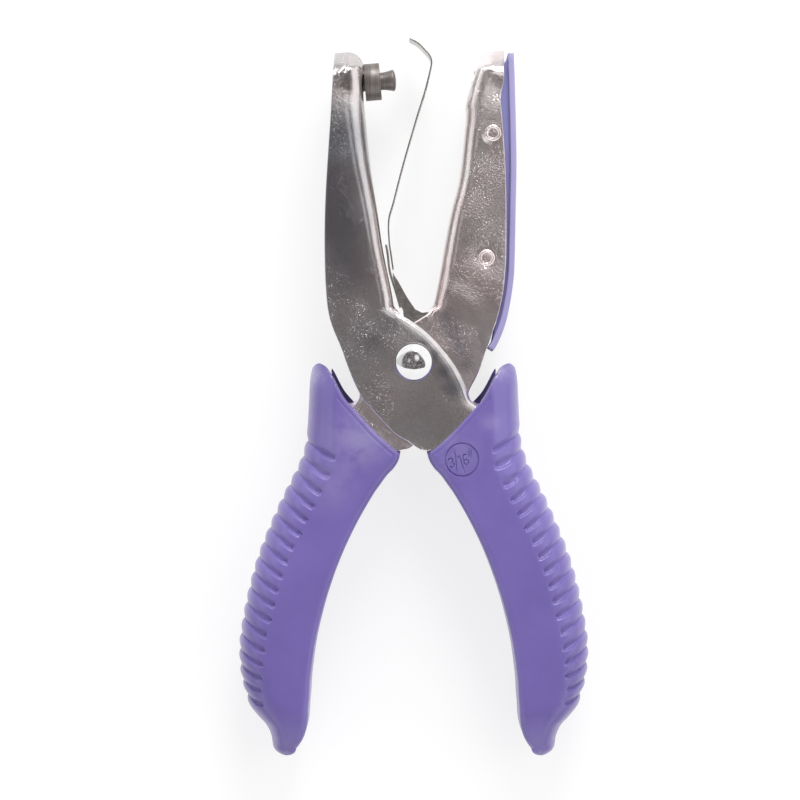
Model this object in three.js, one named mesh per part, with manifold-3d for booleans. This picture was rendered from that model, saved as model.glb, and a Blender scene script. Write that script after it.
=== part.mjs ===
// Long-reach hand punch for one round hole, lying flat and open, as a pair of spring-loaded levers.
// Millimetres, +Z up. The jaws point to +Y, the handles to -Y, and the pivot axis is parallel to Z.
// Everything is drawn round the pivot, with z = 0 in the middle of the tool's width, and moved at the end.
import * as THREE from 'three';
import { mergeVertices } from 'three/addons/utils/BufferGeometryUtils.js';
import Module from 'manifold-3d';

const wasm = await Module();
wasm.setup();

// Driving dimensions of the whole tool, at rest
const jawLength = 70;
const jawSpread = 20;
const gripLength = 88;
const gripSpread = 40;

// Pressed steel levers: channels with rounded bends
const sheet = 1.2;
const outerHalfWidth = 7.5;
const bendRadius = 3;
const fitGap = 0.3;
const innerHalfWidth = outerHalfWidth - sheet - fitGap;
const overrun = 2;
const joggleRadius = 15.2;
const joggleRun = 1.6;
const joggleLap = 1;
const noseRadius = 3.5;

// Pivot rivet with its sleeve
const rivetRadius = 2.4;
const rivetHeadRadius = 4.3;
const rivetHeadHeight = 1.8;
const rivetTailRadius = 3.7;
const rivetTailHeight = 1.2;
const rivetRim = 0.4;
const sleeveWall = 0.8;

// Punch with its collar, its axis set back from the jaw's end
const punchInset = 6.7;
const punchTilt = THREE.MathUtils.degToRad(4.7);
const punchRadius = 2.38;
const punchNeckRadius = 1.95;
const punchStick = 7.3;
const punchFlare = 1.2;
const punchCrown = 0.25;
const crownShare = 0.6;
const punchShankRadius = 2;
const punchRivetRadius = 3;
const punchRivetHeight = 1;
const collarRadius = 4.15;
const collarLength = 3.8;
const collarChamfer = 0.3;

// Die bush in the die jaw, its axis set back from the jaw's end
const dieInset = 8.1;
const dieTilt = THREE.MathUtils.degToRad(11.7);
const dieRadius = 3.6;
const dieFlangeRadius = 4.5;
const dieSeatDepth = 0.45;
const dieFlange = 1.2;
const dieClearance = 0.3;

// Stripper: a bracket on the rivet and a thin spring leaf
const bracketSheet = 0.5;
const bracketHalfWidth = innerHalfWidth - sheet - fitGap;
const bracketEyeRadius = 5.2;
const leafSheet = 0.35;
const leafHalfWidth = bracketHalfWidth - fitGap;
const leafHoleClearance = 0.9;

// Return spring round the sleeve. Its pitch and wire follow from the room between the bracket's ears.
const springCoilRadius = 4.7;
const springSideGap = 0.55;
const springCoilGap = 0.45;
const springTurns = 3;
const springLegAngle = THREE.MathUtils.degToRad(-45);
const springLegShares = [[0.42, -0.058]];
const springSeatShare = 0.11;
const springSweep = springTurns * 2 * Math.PI - springLegAngle - springLegAngle;
const springRows = springSweep / (2 * Math.PI) + 1;
const springRoom = bracketHalfWidth - bracketSheet - springSideGap;
const springPitch = (springRoom + springRoom + springCoilGap) / springRows;
const springWire = springPitch - springCoilGap;
const curlSteps = 8;
const curlSides = 5;

// Snap-off chip tray in the die jaw
const trayWall = 1.3;
const traySlack = 0.35;
const dimpleRadius = 1.6;
const dimpleDepth = 0.4;
const dimpleFloorRadius = 0.9;
const trayNotchClearance = 0.6;

// Moulded grips
const gripHalfThickness = 9.5;
const gripPalmRound = 7.2;
const gripInnerRound = 1.8;
const grooveCount = 18;
const groovePitch = 3.4;
const grooveStart = 20.5;
const grooveWidth = 1.9;
const grooveFloorWidth = 0.8;
const grooveDepth = 0.7;
const ribRound = 0.2;
const grooveEndShare = 0.4;
const sectionLeadShare = 0.1;
const backLip = 1.1;
const palmRoundShare = 0.55;
const cornerLimitShare = 0.17;

// Counts that set how fine the curves are
const bendSteps = 3;
const arcSteps = 5;
const roundSteps = 24;
const curveSteps = 2;
const handleSteps = 1;
const palmSteps = 6;
const cornerSteps = 1;
const gripSteps = 2;
const dimpleSteps = 12;

const acrossMirror = [1, 0, 0];
const acrossWidth = [0, 0, 1];

// Solids: turning a geometry into a manifold solid and back

function solidOf(geometry) {
  const bare = geometry.clone();
  bare.deleteAttribute('normal');
  bare.deleteAttribute('uv');
  const merged = mergeVertices(bare);
  const vertProperties = new Float32Array(merged.attributes.position.array);
  const triVerts = new Uint32Array(merged.index.array);
  return new wasm.Manifold(new wasm.Mesh({ numProp: 3, vertProperties, triVerts }));
}

function geometryOf(solid) {
  const mesh = solid.getMesh();
  const geometry = new THREE.BufferGeometry();
  geometry.setAttribute('position', new THREE.BufferAttribute(new Float32Array(mesh.vertProperties), 3));
  geometry.setIndex(new THREE.BufferAttribute(new Uint32Array(mesh.triVerts), 1));
  geometry.computeVertexNormals();
  return geometry;
}

function shapeOf(points) {
  return new THREE.Shape(points);
}

// A flat slab of an outline between two heights
function slab(points, low, high) {
  const geometry = new THREE.ExtrudeGeometry(shapeOf(points), { depth: high - low, bevelEnabled: false });
  geometry.translate(0, 0, low);
  return solidOf(geometry);
}

// A slab as wide as the tool, centred on z = 0, with all its long edges rounded, drawn in by an inset
function roundedSlab(points, halfWidth, radius, inset) {
  const bevel = radius - inset;
  const flat = halfWidth - radius;
  const geometry = new THREE.ExtrudeGeometry(shapeOf(points), {
    depth: flat + flat,
    bevelEnabled: true,
    bevelThickness: bevel,
    bevelSize: bevel,
    bevelOffset: -radius,
    bevelSegments: bendSteps,
  });
  geometry.translate(0, 0, -flat);
  return solidOf(geometry);
}

// A pressed channel: a rounded slab with the same slab, one sheet smaller, taken out
function channel(points, halfWidth) {
  const outside = roundedSlab(points, halfWidth, bendRadius, 0);
  return outside.subtract(roundedSlab(points, halfWidth, bendRadius, sheet));
}

// A turned solid about the Z axis from a profile of [radius, height] points
function turned(profile, steps = roundSteps) {
  const points = profile.map(([radius, height]) => new THREE.Vector2(radius, height));
  const geometry = new THREE.LatheGeometry(points, steps);
  geometry.rotateX(Math.PI / 2);
  return solidOf(geometry);
}

function disc(radius, low, high, steps = roundSteps) {
  return turned([[0, low], [radius, low], [radius, high], [0, high]], steps);
}

// The same solid on an axis that lies in the plane of the tool: z of the solid runs along the direction
function laid(solid, across, along, angle) {
  const matrix = new THREE.Matrix4().makeTranslation(across, along, 0);
  matrix.multiply(new THREE.Matrix4().makeRotationZ(angle));
  matrix.multiply(new THREE.Matrix4().makeRotationY(Math.PI / 2));
  const geometry = geometryOf(solid);
  geometry.applyMatrix4(matrix);
  return solidOf(geometry);
}

// Outlines: shares of a spread and a length become points, bends become splines and corners become arcs

function placed(shares, spread, length) {
  return shares.map(([across, along]) => new THREE.Vector2(across * spread, along * length));
}

function smooth(points, stepsPerSpan = curveSteps) {
  return new THREE.SplineCurve(points).getPoints((points.length - 1) * stepsPerSpan);
}

// The arc that rounds a corner of a polygon
function rounded(before, corner, after, radius, steps = arcSteps) {
  const toBefore = before.clone().sub(corner).normalize();
  const toAfter = after.clone().sub(corner).normalize();
  const half = Math.acos(toBefore.dot(toAfter)) / 2;
  const reach = radius / Math.tan(half);
  const start = corner.clone().addScaledVector(toBefore, reach);
  const end = corner.clone().addScaledVector(toAfter, reach);
  const middle = toBefore.add(toAfter).normalize();
  const centre = corner.clone().addScaledVector(middle, radius / Math.sin(half));
  const from = start.clone().sub(centre);
  const turn = Math.atan2(from.cross(end.clone().sub(centre)), from.dot(end.clone().sub(centre)));
  const arc = [];
  for (let step = 0; step <= steps; step += 1) {
    arc.push(from.clone().rotateAround(new THREE.Vector2(), (turn * step) / steps).add(centre));
  }
  return arc;
}

// Outlines of the two levers. Shares are of jawSpread across and of jawLength along, jaw to the left.

const punchThroatShares = [
  [-0.565, 0.85], [-0.54, 0.773], [-0.48, 0.613], [-0.41, 0.486], [-0.345, 0.357], [-0.255, 0.23],
  [-0.225, 0.18],
];
const punchOuterShares = [
  [-0.885, 0.985], [-0.9, 0.93], [-0.93, 0.773], [-0.98, 0.55], [-0.995, 0.39], [-0.98, 0.23],
  [-0.935, 0.134], [-0.805, 0.039], [-0.7, -0.041], [-0.585, -0.11], [-0.485, -0.147], [-0.345, -0.191],
  [-0.205, -0.231], [-0.065, -0.255],
];
const punchShoulderShares = [[-0.565, 0.998]];
const punchTopShares = [[-1.4, 0.975]];

const dieThroatShares = [
  [-0.645, 0.886], [-0.6, 0.843], [-0.583, 0.815], [-0.59, 0.79], [-0.568, 0.72], [-0.505, 0.581],
  [-0.425, 0.486], [-0.36, 0.39], [-0.305, 0.294], [-0.25, 0.214], [-0.225, 0.183],
];
const dieOuterShares = [
  [-1.012, 0.984], [-1.006, 0.945], [-1.005, 0.9], [-0.97, 0.84], [-0.985, 0.773], [-1.015, 0.646],
  [-1.03, 0.517], [-1.03, 0.36], [-1.02, 0.294], [-0.99, 0.214], [-0.925, 0.134], [-0.83, 0.056],
  [-0.72, -0.033], [-0.63, -0.083], [-0.595, -0.106], [-0.485, -0.147], [-0.345, -0.191],
  [-0.205, -0.231], [-0.065, -0.255],
];
const dieShoulderShares = [[-0.765, 1.0]];
const dieTopShares = [[-1.4, 0.995]];

// The edge where the plate crosses from the end of the web to the palm side of the handle
const crossingShares = [
  [-0.145, 0.15], [0.005, 0.123], [0.165, 0.087], [0.295, 0.047], [0.4, 0.01], [0.5, -0.033],
  [0.59, -0.089],
];
const heelShares = [[0.635, -0.123], [0.7, -0.131]];

// Handle inside the grip, shares of gripSpread across and of gripLength along
const handlePalmShares = [
  [0.385, -0.104], [0.452, -0.122], [0.485, -0.159], [0.505, -0.211], [0.545, -0.2625], [0.63, -0.339],
  [0.705, -0.415], [0.77, -0.491], [0.8175, -0.567], [0.85, -0.643], [0.87, -0.719], [0.865, -0.795],
  [0.845, -0.83],
];
const handleInnerShares = [
  [0.64, -0.83], [0.635, -0.795], [0.615, -0.719], [0.58, -0.643], [0.53, -0.567], [0.4725, -0.491],
  [0.395, -0.415], [0.3025, -0.339], [0.2225, -0.2875], [0.125, -0.235], [0.033, -0.2225],
];

// Stripper, shares of jawSpread across and of jawLength along
const earShares = [
  [-0.26, 0], [-0.19, 0.04], [-0.115, 0.15], [-0.165, 0.194], [-0.235, 0.285], [0.015, 0.169],
  [0.21, 0.163],
];
const bridgeShares = [[-0.15, 0.175], [-0.2, 0.225], [-0.268, 0.29], [-0.292, 0.345], [-0.31, 0.375]];
const leafShares = [
  [-0.232, 0.297], [-0.255, 0.345], [-0.275, 0.386], [-0.28, 0.453], [-0.225, 0.513], [-0.12, 0.629],
  [0.03, 0.777], [0.12, 0.86], [0.19, 0.94], [0.198, 0.962], [0.175, 0.979], [0.14, 0.991], [0.055, 1.016],
  [-0.045, 1.033],
];
const leafHoleShares = [[0.155, 0.887]];
const leafAngle = THREE.MathUtils.degToRad(14);

// Chip tray and the dimples that hold it, jaw to the left, shares as above
const trayShares = [
  [-1.08, 0.981], [-1.095, 0.857], [-1.11, 0.643], [-1.1, 0.471], [-1.09, 0.33], [-1.08, 0.27],
  [-1.047, 0.2], [-0.99, 0.125], [-0.91, 0.066], [-0.855, 0.04],
];
const trayFlangeShares = [
  [-0.96, 0.19], [-0.8, 0.2], [-0.63, 0.314], [-0.68, 0.543], [-0.77, 0.771], [-0.865, 0.95],
];
const dimpleShares = [[-0.88, 0.727], [-0.81, 0.33]];

// Grip, handle to the right, shares of gripSpread across and of gripLength down
const gripPalmShares = [
  [0.54, 0.03], [0.578, -0.033], [0.5875, -0.097], [0.595, -0.159], [0.61, -0.211], [0.65, -0.2625],
  [0.735, -0.339], [0.81, -0.415], [0.875, -0.491], [0.9225, -0.567], [0.9575, -0.643], [0.98, -0.719],
  [0.97, -0.795], [0.94, -0.847], [0.92, -0.873], [0.8775, -0.898], [0.8275, -0.923], [0.8, -0.949],
  [0.79, -0.974], [0.7725, -0.992],
];
const gripInnerShares = [
  [0.067, -0.207], [0.082, -0.245], [0.11, -0.268], [0.15, -0.2875], [0.19, -0.3125], [0.23, -0.339],
  [0.305, -0.398], [0.3725, -0.46], [0.43, -0.523], [0.48, -0.589], [0.52, -0.655], [0.55, -0.719],
  [0.5725, -0.795], [0.58, -0.847], [0.585, -0.873], [0.5875, -0.898], [0.595, -0.923], [0.6125, -0.949],
  [0.645, -0.974], [0.6825, -0.992],
];
const gripThicknessShares = [
  1, 1, 1, 1, 1, 1, 1, 1, 1, 1, 1, 1, 1, 1, 0.97, 0.93, 0.87, 0.78, 0.62, 0.4,
];
const mouthShares = [
  [0.65, -0.035], [0.575, -0.016], [0.545, -0.0055], [0.52, -0.0045], [0.49, -0.0136], [0.47, -0.027],
  [0.4475, -0.043], [0.42, -0.068], [0.3875, -0.093], [0.3375, -0.119], [0.2875, -0.144], [0.2275, -0.174],
  [0.1675, -0.2], [0.1125, -0.2216], [0.07, -0.236], [0, -0.27],
];

// The jaw: a channel open on its outer side. Its outline runs past the trim on every side that has no web.
function jawOutline(throat, shoulder, top, foot) {
  const nose = rounded(throat[0], shoulder, top, noseRadius);
  return [...nose, top, new THREE.Vector2(top.x, foot.y), foot, ...throat.slice().reverse()];
}

// All outlines of one lever, jaw to the left and handle to the right
function leverOutlines(shares) {
  const throat = smooth(placed(shares.throat, jawSpread, jawLength));
  const outer = smooth(placed(shares.outer, jawSpread, jawLength));
  const [shoulder] = placed(shares.shoulder, jawSpread, jawLength);
  const [top] = placed(shares.top, jawSpread, jawLength);
  const crossing = smooth(placed(crossingShares, jawSpread, jawLength));
  const heel = smooth(placed(heelShares, jawSpread, jawLength));
  const palm = smooth(placed(handlePalmShares, gripSpread, gripLength), handleSteps);
  const inner = smooth(placed(handleInnerShares, gripSpread, gripLength), handleSteps);

  // The web stops above the pivot, where the plates go on alone
  const webEnd = throat[throat.length - 1];
  const foot = new THREE.Vector2(webEnd.x + sheet, webEnd.y - bendRadius - bendRadius - overrun);
  const jaw = jawOutline(throat, shoulder, top, foot);
  const flatX = webEnd.x - bendRadius;
  const upper = outer.filter((point) => point.y > webEnd.y - bendRadius);
  const keepJaw = [
    new THREE.Vector2(outer[0].x, top.y + overrun),
    ...upper,
    new THREE.Vector2(flatX, upper[upper.length - 1].y),
    new THREE.Vector2(flatX, webEnd.y),
    new THREE.Vector2(webEnd.x + overrun, webEnd.y),
    new THREE.Vector2(webEnd.x + overrun, top.y + overrun),
  ];

  // The plates lap into the flat walls of the jaw and of the handle
  const lower = outer.filter((point) => point.y < webEnd.y + bendRadius);
  const lap = bendRadius + overrun;
  const plate = [
    ...lower,
    inner[inner.length - 1],
    inner[inner.length - 1 - handleSteps],
    new THREE.Vector2(palm[handleSteps].x - lap, palm[handleSteps].y - lap),
    palm[0],
    ...heel.slice().reverse(),
    ...crossing.slice().reverse(),
    webEnd,
    new THREE.Vector2(flatX - sheet, webEnd.y),
    new THREE.Vector2(flatX - sheet, lower[0].y),
  ];

  // The handle is a channel open on its inner side
  const beyond = palm[0].clone().sub(palm[1]).normalize().multiplyScalar(lap);
  const inward = new THREE.Vector2(-lap, -bendRadius);
  const under = new THREE.Vector2(0, -lap);
  const bottom = inner[0].clone().add(inward).add(under);
  const middle = inner[Math.round(inner.length / 2)].clone().add(inward);
  const upperEnd = inner[inner.length - 1].clone().add(new THREE.Vector2(-lap - bendRadius, overrun));
  const handle = [
    palm[0].clone().add(beyond),
    ...palm,
    palm[palm.length - 1].clone().add(under),
    bottom,
    middle,
    upperEnd,
  ];
  const keepHandle = [
    palm[0],
    new THREE.Vector2(gripSpread, palm[0].y + overrun),
    new THREE.Vector2(gripSpread, inner[0].y),
    ...inner,
  ];
  return { jaw, keepJaw, plate, handle, keepHandle, palm, inner };
}

function bothSides(points, low, high) {
  return slab(points, low, high).add(slab(points, -high, -low));
}

const pivotHole = () => disc(rivetRadius + fitGap, -outerHalfWidth - overrun, outerHalfWidth + overrun);

const punchShares = {
  throat: punchThroatShares,
  outer: punchOuterShares,
  shoulder: punchShoulderShares,
  top: punchTopShares,
};
const dieShares = {
  throat: dieThroatShares,
  outer: dieOuterShares,
  shoulder: dieShoulderShares,
  top: dieTopShares,
};
const punchOutlines = leverOutlines(punchShares);
const dieOutlines = leverOutlines(dieShares);

// Punch lever: left jaw, outer plates at the pivot, right handle

function punchLever() {
  const { jaw, keepJaw, plate, handle, keepHandle } = punchOutlines;
  const reach = outerHalfWidth + overrun;
  const walls = bothSides(plate, outerHalfWidth - sheet, outerHalfWidth);
  const jawPart = channel(jaw, outerHalfWidth).intersect(slab(keepJaw, -reach, reach));
  const handlePart = channel(handle, outerHalfWidth).intersect(slab(keepHandle, -reach, reach));
  const shank = disc(punchShankRadius + fitGap, -punchStick - sheet - reach, -punchStick + overrun);
  const hole = punchAxisSolid(shank);
  return jawPart.add(walls).add(handlePart).subtract(pivotHole()).subtract(hole);
}

// Die lever: right jaw as wide as the other one, joggled in to run between the outer plates, left handle

function joggleRing() {
  const run = joggleRadius + joggleRun;
  const inside = joggleRadius - joggleLap;
  const outside = run + joggleLap;
  const rise = sheet + fitGap;
  const low = innerHalfWidth - sheet;
  const ring = turned([
    [inside, low], [joggleRadius, low], [run, low + rise], [outside, low + rise], [outside, outerHalfWidth],
    [run, outerHalfWidth], [joggleRadius, innerHalfWidth], [inside, innerHalfWidth], [inside, low],
  ], roundSteps + roundSteps);
  return ring.add(ring.mirror(acrossWidth));
}

function dieLever() {
  const { jaw, keepJaw, plate, handle, keepHandle } = dieOutlines;
  const reach = outerHalfWidth + overrun;
  const fine = roundSteps + roundSteps;
  const run = joggleRadius + joggleRun;
  const keep = slab(keepJaw, -reach, reach);
  const waist = disc(run, -reach, reach, fine);
  const jawSide = slab([
    new THREE.Vector2(-gripSpread, 0),
    new THREE.Vector2(0, 0),
    new THREE.Vector2(0, jawLength),
    new THREE.Vector2(-gripSpread, jawLength),
  ], -reach, reach);
  const lowWalls = bothSides(plate, outerHalfWidth - sheet, outerHalfWidth).intersect(jawSide);
  const wide = channel(jaw, outerHalfWidth).intersect(keep).add(lowWalls).subtract(waist);

  // Inside the joggle the web is narrower, and laps under the wide one
  const webHalf = innerHalfWidth - sheet / 2;
  const lapDisc = disc(run + joggleLap, -webHalf, webHalf, fine);
  const inWeb = slab(keepJaw, -webHalf, webHalf);
  const narrow = channel(jaw, innerHalfWidth).intersect(inWeb).intersect(lapDisc);
  const plateSide = slab(plate, -reach, reach).intersect(jawSide);
  const footprint = slab(jaw, -reach, reach).intersect(keep).add(plateSide);
  const ring = joggleRing().intersect(footprint);

  // The plates of the pivot reach the joggle on the jaw's side and run on into the handle
  const walls = bothSides(plate, innerHalfWidth - sheet, innerHalfWidth);
  const beyondJoggle = jawSide.subtract(disc(joggleRadius, -reach - overrun, reach + overrun, fine));
  const plates = walls.subtract(beyondJoggle);

  const handlePart = channel(handle, innerHalfWidth).intersect(slab(keepHandle, -reach, reach));
  const dieSeat = dieAxisSolid(disc(dieRadius + fitGap, -overrun - overrun, overrun + sheet));
  const body = wide.add(narrow).add(ring).add(plates).add(handlePart);
  return dimpled(body.subtract(pivotHole()).subtract(dieSeat));
}

// Dimples are pressed into both walls of the die jaw: a dish outside and a bump inside hold the chip tray
function dimpled(lever) {
  const inside = outerHalfWidth - sheet;
  const dish = (face, past) => turned([
    [0, face - dimpleDepth], [dimpleFloorRadius, face - dimpleDepth], [dimpleRadius, face],
    [dimpleRadius, face + past], [0, face + past],
  ], dimpleSteps);
  let result = lever;
  for (const place of dimples()) {
    const bump = dish(inside, sheet - dimpleDepth - fitGap).translate([place.x, place.y, 0]);
    const hollow = dish(outerHalfWidth, overrun).translate([place.x, place.y, 0]);
    result = result.add(bump).add(bump.mirror(acrossWidth));
    result = result.subtract(hollow).subtract(hollow.mirror(acrossWidth));
  }
  return result;
}

// How far across a jaw's web lies at a height above the pivot
function webAcross(shares, height) {
  const line = placed([...shares.shoulder, ...shares.throat], jawSpread, jawLength);
  const below = line.findIndex((point) => point.y < height);
  const upper = line[below - 1];
  const lower = line[below];
  return lower.x + ((upper.x - lower.x) * (height - lower.y)) / (upper.y - lower.y);
}

// The die's axis points from the throat into the die jaw, here drawn to the left
function dieAxisSolid(solid) {
  const height = jawLength - dieInset;
  return laid(solid, webAcross(dieShares, height), height, Math.PI + dieTilt);
}

// Die bush: a hardened ring set into the web from behind, its flange inside the channel

function dieBush() {
  const bore = punchRadius + dieClearance;
  const seat = sheet + fitGap + dieSeatDepth;
  const bush = turned([
    [bore, 0], [dieRadius, 0], [dieRadius, seat], [dieFlangeRadius, seat],
    [dieFlangeRadius, seat + dieFlange], [bore, seat + dieFlange], [bore, 0],
  ]);
  return dieAxisSolid(bush);
}

// Punch: crowned tip, waisted neck and a shank that is riveted over behind the jaw's web

function punchAxisSolid(solid) {
  const height = jawLength - punchInset;
  return laid(solid, webAcross(punchShares, height) + punchStick, height, punchTilt);
}

function punchPin() {
  const web = punchStick + sheet;
  const pin = turned([
    [0, 0], [punchRadius * crownShare, 0], [punchRadius, -punchCrown], [punchRadius, -punchFlare / 2],
    [punchNeckRadius, -punchFlare - punchCrown], [punchShankRadius, -punchStick],
    [punchShankRadius, -web - fitGap], [punchRivetRadius, -web - fitGap],
    [punchRivetRadius * crownShare, -web - fitGap - punchRivetHeight],
    [0, -web - fitGap - punchRivetHeight],
  ].reverse());
  return punchAxisSolid(pin);
}

function punchCollar() {
  const back = -punchStick + fitGap;
  const front = back + collarLength - fitGap;
  const bore = punchShankRadius + fitGap;
  const collar = turned([
    [bore, back - overrun], [collarRadius, back - overrun], [collarRadius, front - collarChamfer],
    [collarRadius - collarChamfer, front], [bore, front], [bore, back - overrun],
  ]);
  const height = jawLength - punchInset;
  const webFace = webAcross(punchShares, height) + fitGap;
  const side = collarRadius + overrun;
  const throatSide = slab([
    new THREE.Vector2(webFace, height - side),
    new THREE.Vector2(webFace + punchStick, height - side),
    new THREE.Vector2(webFace + punchStick, height + side),
    new THREE.Vector2(webFace, height + side),
  ], -side, side);
  return punchAxisSolid(collar).intersect(throatSide);
}

// Pivot rivet with a domed head in front and a clinched tail behind, and the spacer sleeve round it

function pivotRivet() {
  const seat = outerHalfWidth + fitGap;
  const domeRadius = (rivetHeadRadius ** 2 + rivetHeadHeight ** 2) / (rivetHeadHeight + rivetHeadHeight);
  const profile = [
    [0, -seat - rivetTailHeight], [rivetTailRadius - rivetRim, -seat - rivetTailHeight],
    [rivetTailRadius, -seat - rivetTailHeight + rivetRim], [rivetTailRadius, -seat],
    [rivetRadius, -seat], [rivetRadius, seat], [rivetHeadRadius, seat],
  ];
  const centre = seat + rivetHeadHeight - domeRadius + rivetRim;
  const lean = Math.asin(rivetHeadRadius / domeRadius);
  for (let step = 0; step <= arcSteps; step += 1) {
    const angle = lean * (1 - step / arcSteps);
    profile.push([domeRadius * Math.sin(angle), centre + domeRadius * Math.cos(angle)]);
  }
  return turned(profile);
}

function spacerSleeve() {
  const half = bracketHalfWidth - bracketSheet - fitGap;
  const bore = rivetRadius + fitGap;
  const outside = bore + sleeveWall;
  return turned([[bore, -half], [outside, -half], [outside, half], [bore, half], [bore, -half]]);
}

// Return spring: a torsion coil round the sleeve with a leg against the inside of each handle

function springPath() {
  const half = springRoom - springWire / 2;
  const startAngle = springLegAngle + Math.PI / 2;
  const steps = Math.round((springSweep / (2 * Math.PI)) * curlSteps);
  const points = [];
  for (let step = 0; step <= steps; step += 1) {
    const share = step / steps;
    const angle = startAngle + springSweep * share;
    points.push(new THREE.Vector3(
      springCoilRadius * Math.cos(angle),
      springCoilRadius * Math.sin(angle),
      half - (half + half) * share,
    ));
  }
  return points;
}

// A closed tube round a path of straight steps, its sections square to the path
function tubeAlong(points, radius, sides) {
  const positions = [];
  const index = [];
  const count = points.length;
  let normal = new THREE.Vector3(0, 0, 1);
  for (let i = 0; i < count; i += 1) {
    const before = points[Math.max(i - 1, 0)];
    const after = points[Math.min(i + 1, count - 1)];
    const tangent = after.clone().sub(before).normalize();
    normal = normal.sub(tangent.clone().multiplyScalar(normal.dot(tangent))).normalize();
    const across = tangent.clone().cross(normal);
    for (let side = 0; side < sides; side += 1) {
      const turn = (side / sides) * 2 * Math.PI;
      const point = points[i].clone();
      point.addScaledVector(normal, radius * Math.cos(turn)).addScaledVector(across, radius * Math.sin(turn));
      positions.push(point.x, point.y, point.z);
    }
    for (let side = 0; side < sides && i > 0; side += 1) {
      const next = (side + 1) % sides;
      const low = (i - 1) * sides;
      const high = low + sides;
      index.push(low + side, low + next, high + next, low + side, high + next, high + side);
    }
  }
  const last = (count - 1) * sides;
  for (let side = 1; side < sides - 1; side += 1) {
    index.push(0, side + 1, side);
    index.push(last, last + side, last + side + 1);
  }
  const geometry = new THREE.BufferGeometry();
  geometry.setAttribute('position', new THREE.BufferAttribute(new Float32Array(positions), 3));
  geometry.setIndex(index);
  return solidOf(geometry);
}

// A leg ends straight and square to the inside of the handle's web
function springLeg() {
  const palm = new THREE.SplineCurve(punchOutlines.palm);
  const outward = palm.getTangentAt(springSeatShare).rotateAround(new THREE.Vector2(), Math.PI / 2);
  const end = palm.getPointAt(springSeatShare).addScaledVector(outward, -sheet - fitGap);
  const bend = end.clone().addScaledVector(outward, -springWire);
  return [...placed(springLegShares, jawSpread, jawLength), bend, end];
}

function returnSpring() {
  const coil = springPath();
  const first = coil[0];
  const lastPoint = coil[coil.length - 1];
  const right = springLeg().map((point) => new THREE.Vector3(point.x, point.y, first.z));
  const left = springLeg().map((point) => new THREE.Vector3(-point.x, point.y, lastPoint.z));
  const path = [...right.reverse(), ...coil, ...left];
  let least = Infinity;
  for (let i = 0; i < coil.length; i += 1) {
    for (let j = i + curlSteps / 2; j < coil.length; j += 1) {
      least = Math.min(least, coil[i].distanceTo(coil[j]) - springWire);
    }
  }
  console.log(`return spring: least gap to itself ${least.toFixed(2)} mm`);
  return tubeAlong(path, springWire / 2, curlSides);
}

// Stripper bracket: two ears on the rivet, inside the die lever's plates, joined by a bridge with a tongue

function stripperBracket() {
  const ear = smooth(placed(earShares, jawSpread, jawLength), 1);
  const eye = [];
  for (let step = 0; step <= roundSteps / 2; step += 1) {
    const angle = -(Math.PI * step) / (roundSteps / 2);
    eye.push(new THREE.Vector2(bracketEyeRadius * Math.cos(angle), bracketEyeRadius * Math.sin(angle)));
  }
  const inside = bracketHalfWidth - bracketSheet;
  const ears = bothSides([...ear, ...eye], inside, bracketHalfWidth);
  const bridgeLine = smooth(placed(bridgeShares, jawSpread, jawLength), curveSteps);
  const bridge = strip(bridgeLine, bracketSheet, bracketHalfWidth);
  return ears.add(bridge).subtract(pivotHole());
}

// A strip of sheet that stands on a line in the plane of the tool
function strip(line, thickness, halfWidth) {
  const left = [];
  const right = [];
  line.forEach((point, i) => {
    const before = line[Math.max(i - 1, 0)];
    const after = line[Math.min(i + 1, line.length - 1)];
    const normal = after.clone().sub(before).normalize().rotateAround(new THREE.Vector2(), Math.PI / 2);
    left.push(point.clone().addScaledVector(normal, thickness / 2));
    right.push(point.clone().addScaledVector(normal, -thickness / 2));
  });
  return slab([...left, ...right.reverse()], -halfWidth, halfWidth);
}

// Stripper leaf: thin spring steel from the tongue to a curl above the punch, with a hole for the punch

function stripperLeaf() {
  const line = smooth(placed(leafShares, jawSpread, jawLength), 2);
  const hole = disc(punchRadius + leafHoleClearance, -overrun, overrun);
  const [centre] = placed(leafHoleShares, jawSpread, jawLength);
  const leaf = strip(line, leafSheet, leafHalfWidth);
  return leaf.subtract(laid(hole, centre.x, centre.y, punchTilt - leafAngle));
}

// Chip tray: an outer strip over the die jaw's open side, two flanges inside its walls and two end walls

const dimples = () => placed(dimpleShares, jawSpread, jawLength);

function chipTray() {
  const line = smooth(placed(trayShares, jawSpread, jawLength), 2);
  const outer = strip(line, trayWall, outerHalfWidth - fitGap);
  const flangeTop = outerHalfWidth - sheet - traySlack;
  const flangeLine = placed(trayFlangeShares, jawSpread, jawLength);
  let flanges = bothSides([...line, ...flangeLine], flangeTop - trayWall, flangeTop);
  for (const dimple of dimples()) {
    const half = dimpleRadius + trayNotchClearance;
    const notch = slab([
      new THREE.Vector2(dimple.x - half, dimple.y - half),
      new THREE.Vector2(0, dimple.y - half),
      new THREE.Vector2(0, dimple.y + half),
      new THREE.Vector2(dimple.x - half, dimple.y + half),
    ], -outerHalfWidth, outerHalfWidth);
    flanges = flanges.subtract(notch);
  }
  const ends = flangeLine.slice(0, 1).concat(flangeLine.slice(-1));
  const walls = ends.map((end) => slab([
    new THREE.Vector2(end.x, end.y - trayWall / 2),
    new THREE.Vector2(end.x, end.y + trayWall / 2),
    new THREE.Vector2(-jawSpread, end.y + trayWall / 2),
    new THREE.Vector2(-jawSpread, end.y - trayWall / 2),
  ], -flangeTop, flangeTop));
  return walls.reduce((sum, wall) => sum.add(wall), outer.add(flanges));
}

// Grip: a moulded sleeve lofted between its palm side and its inner side, round towards the palm.
// A groove sinks the round side, deeper towards the grip's flat sides, where it ends. The sections lean, so
// that the grooves run down from the palm towards the inner side.

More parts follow.
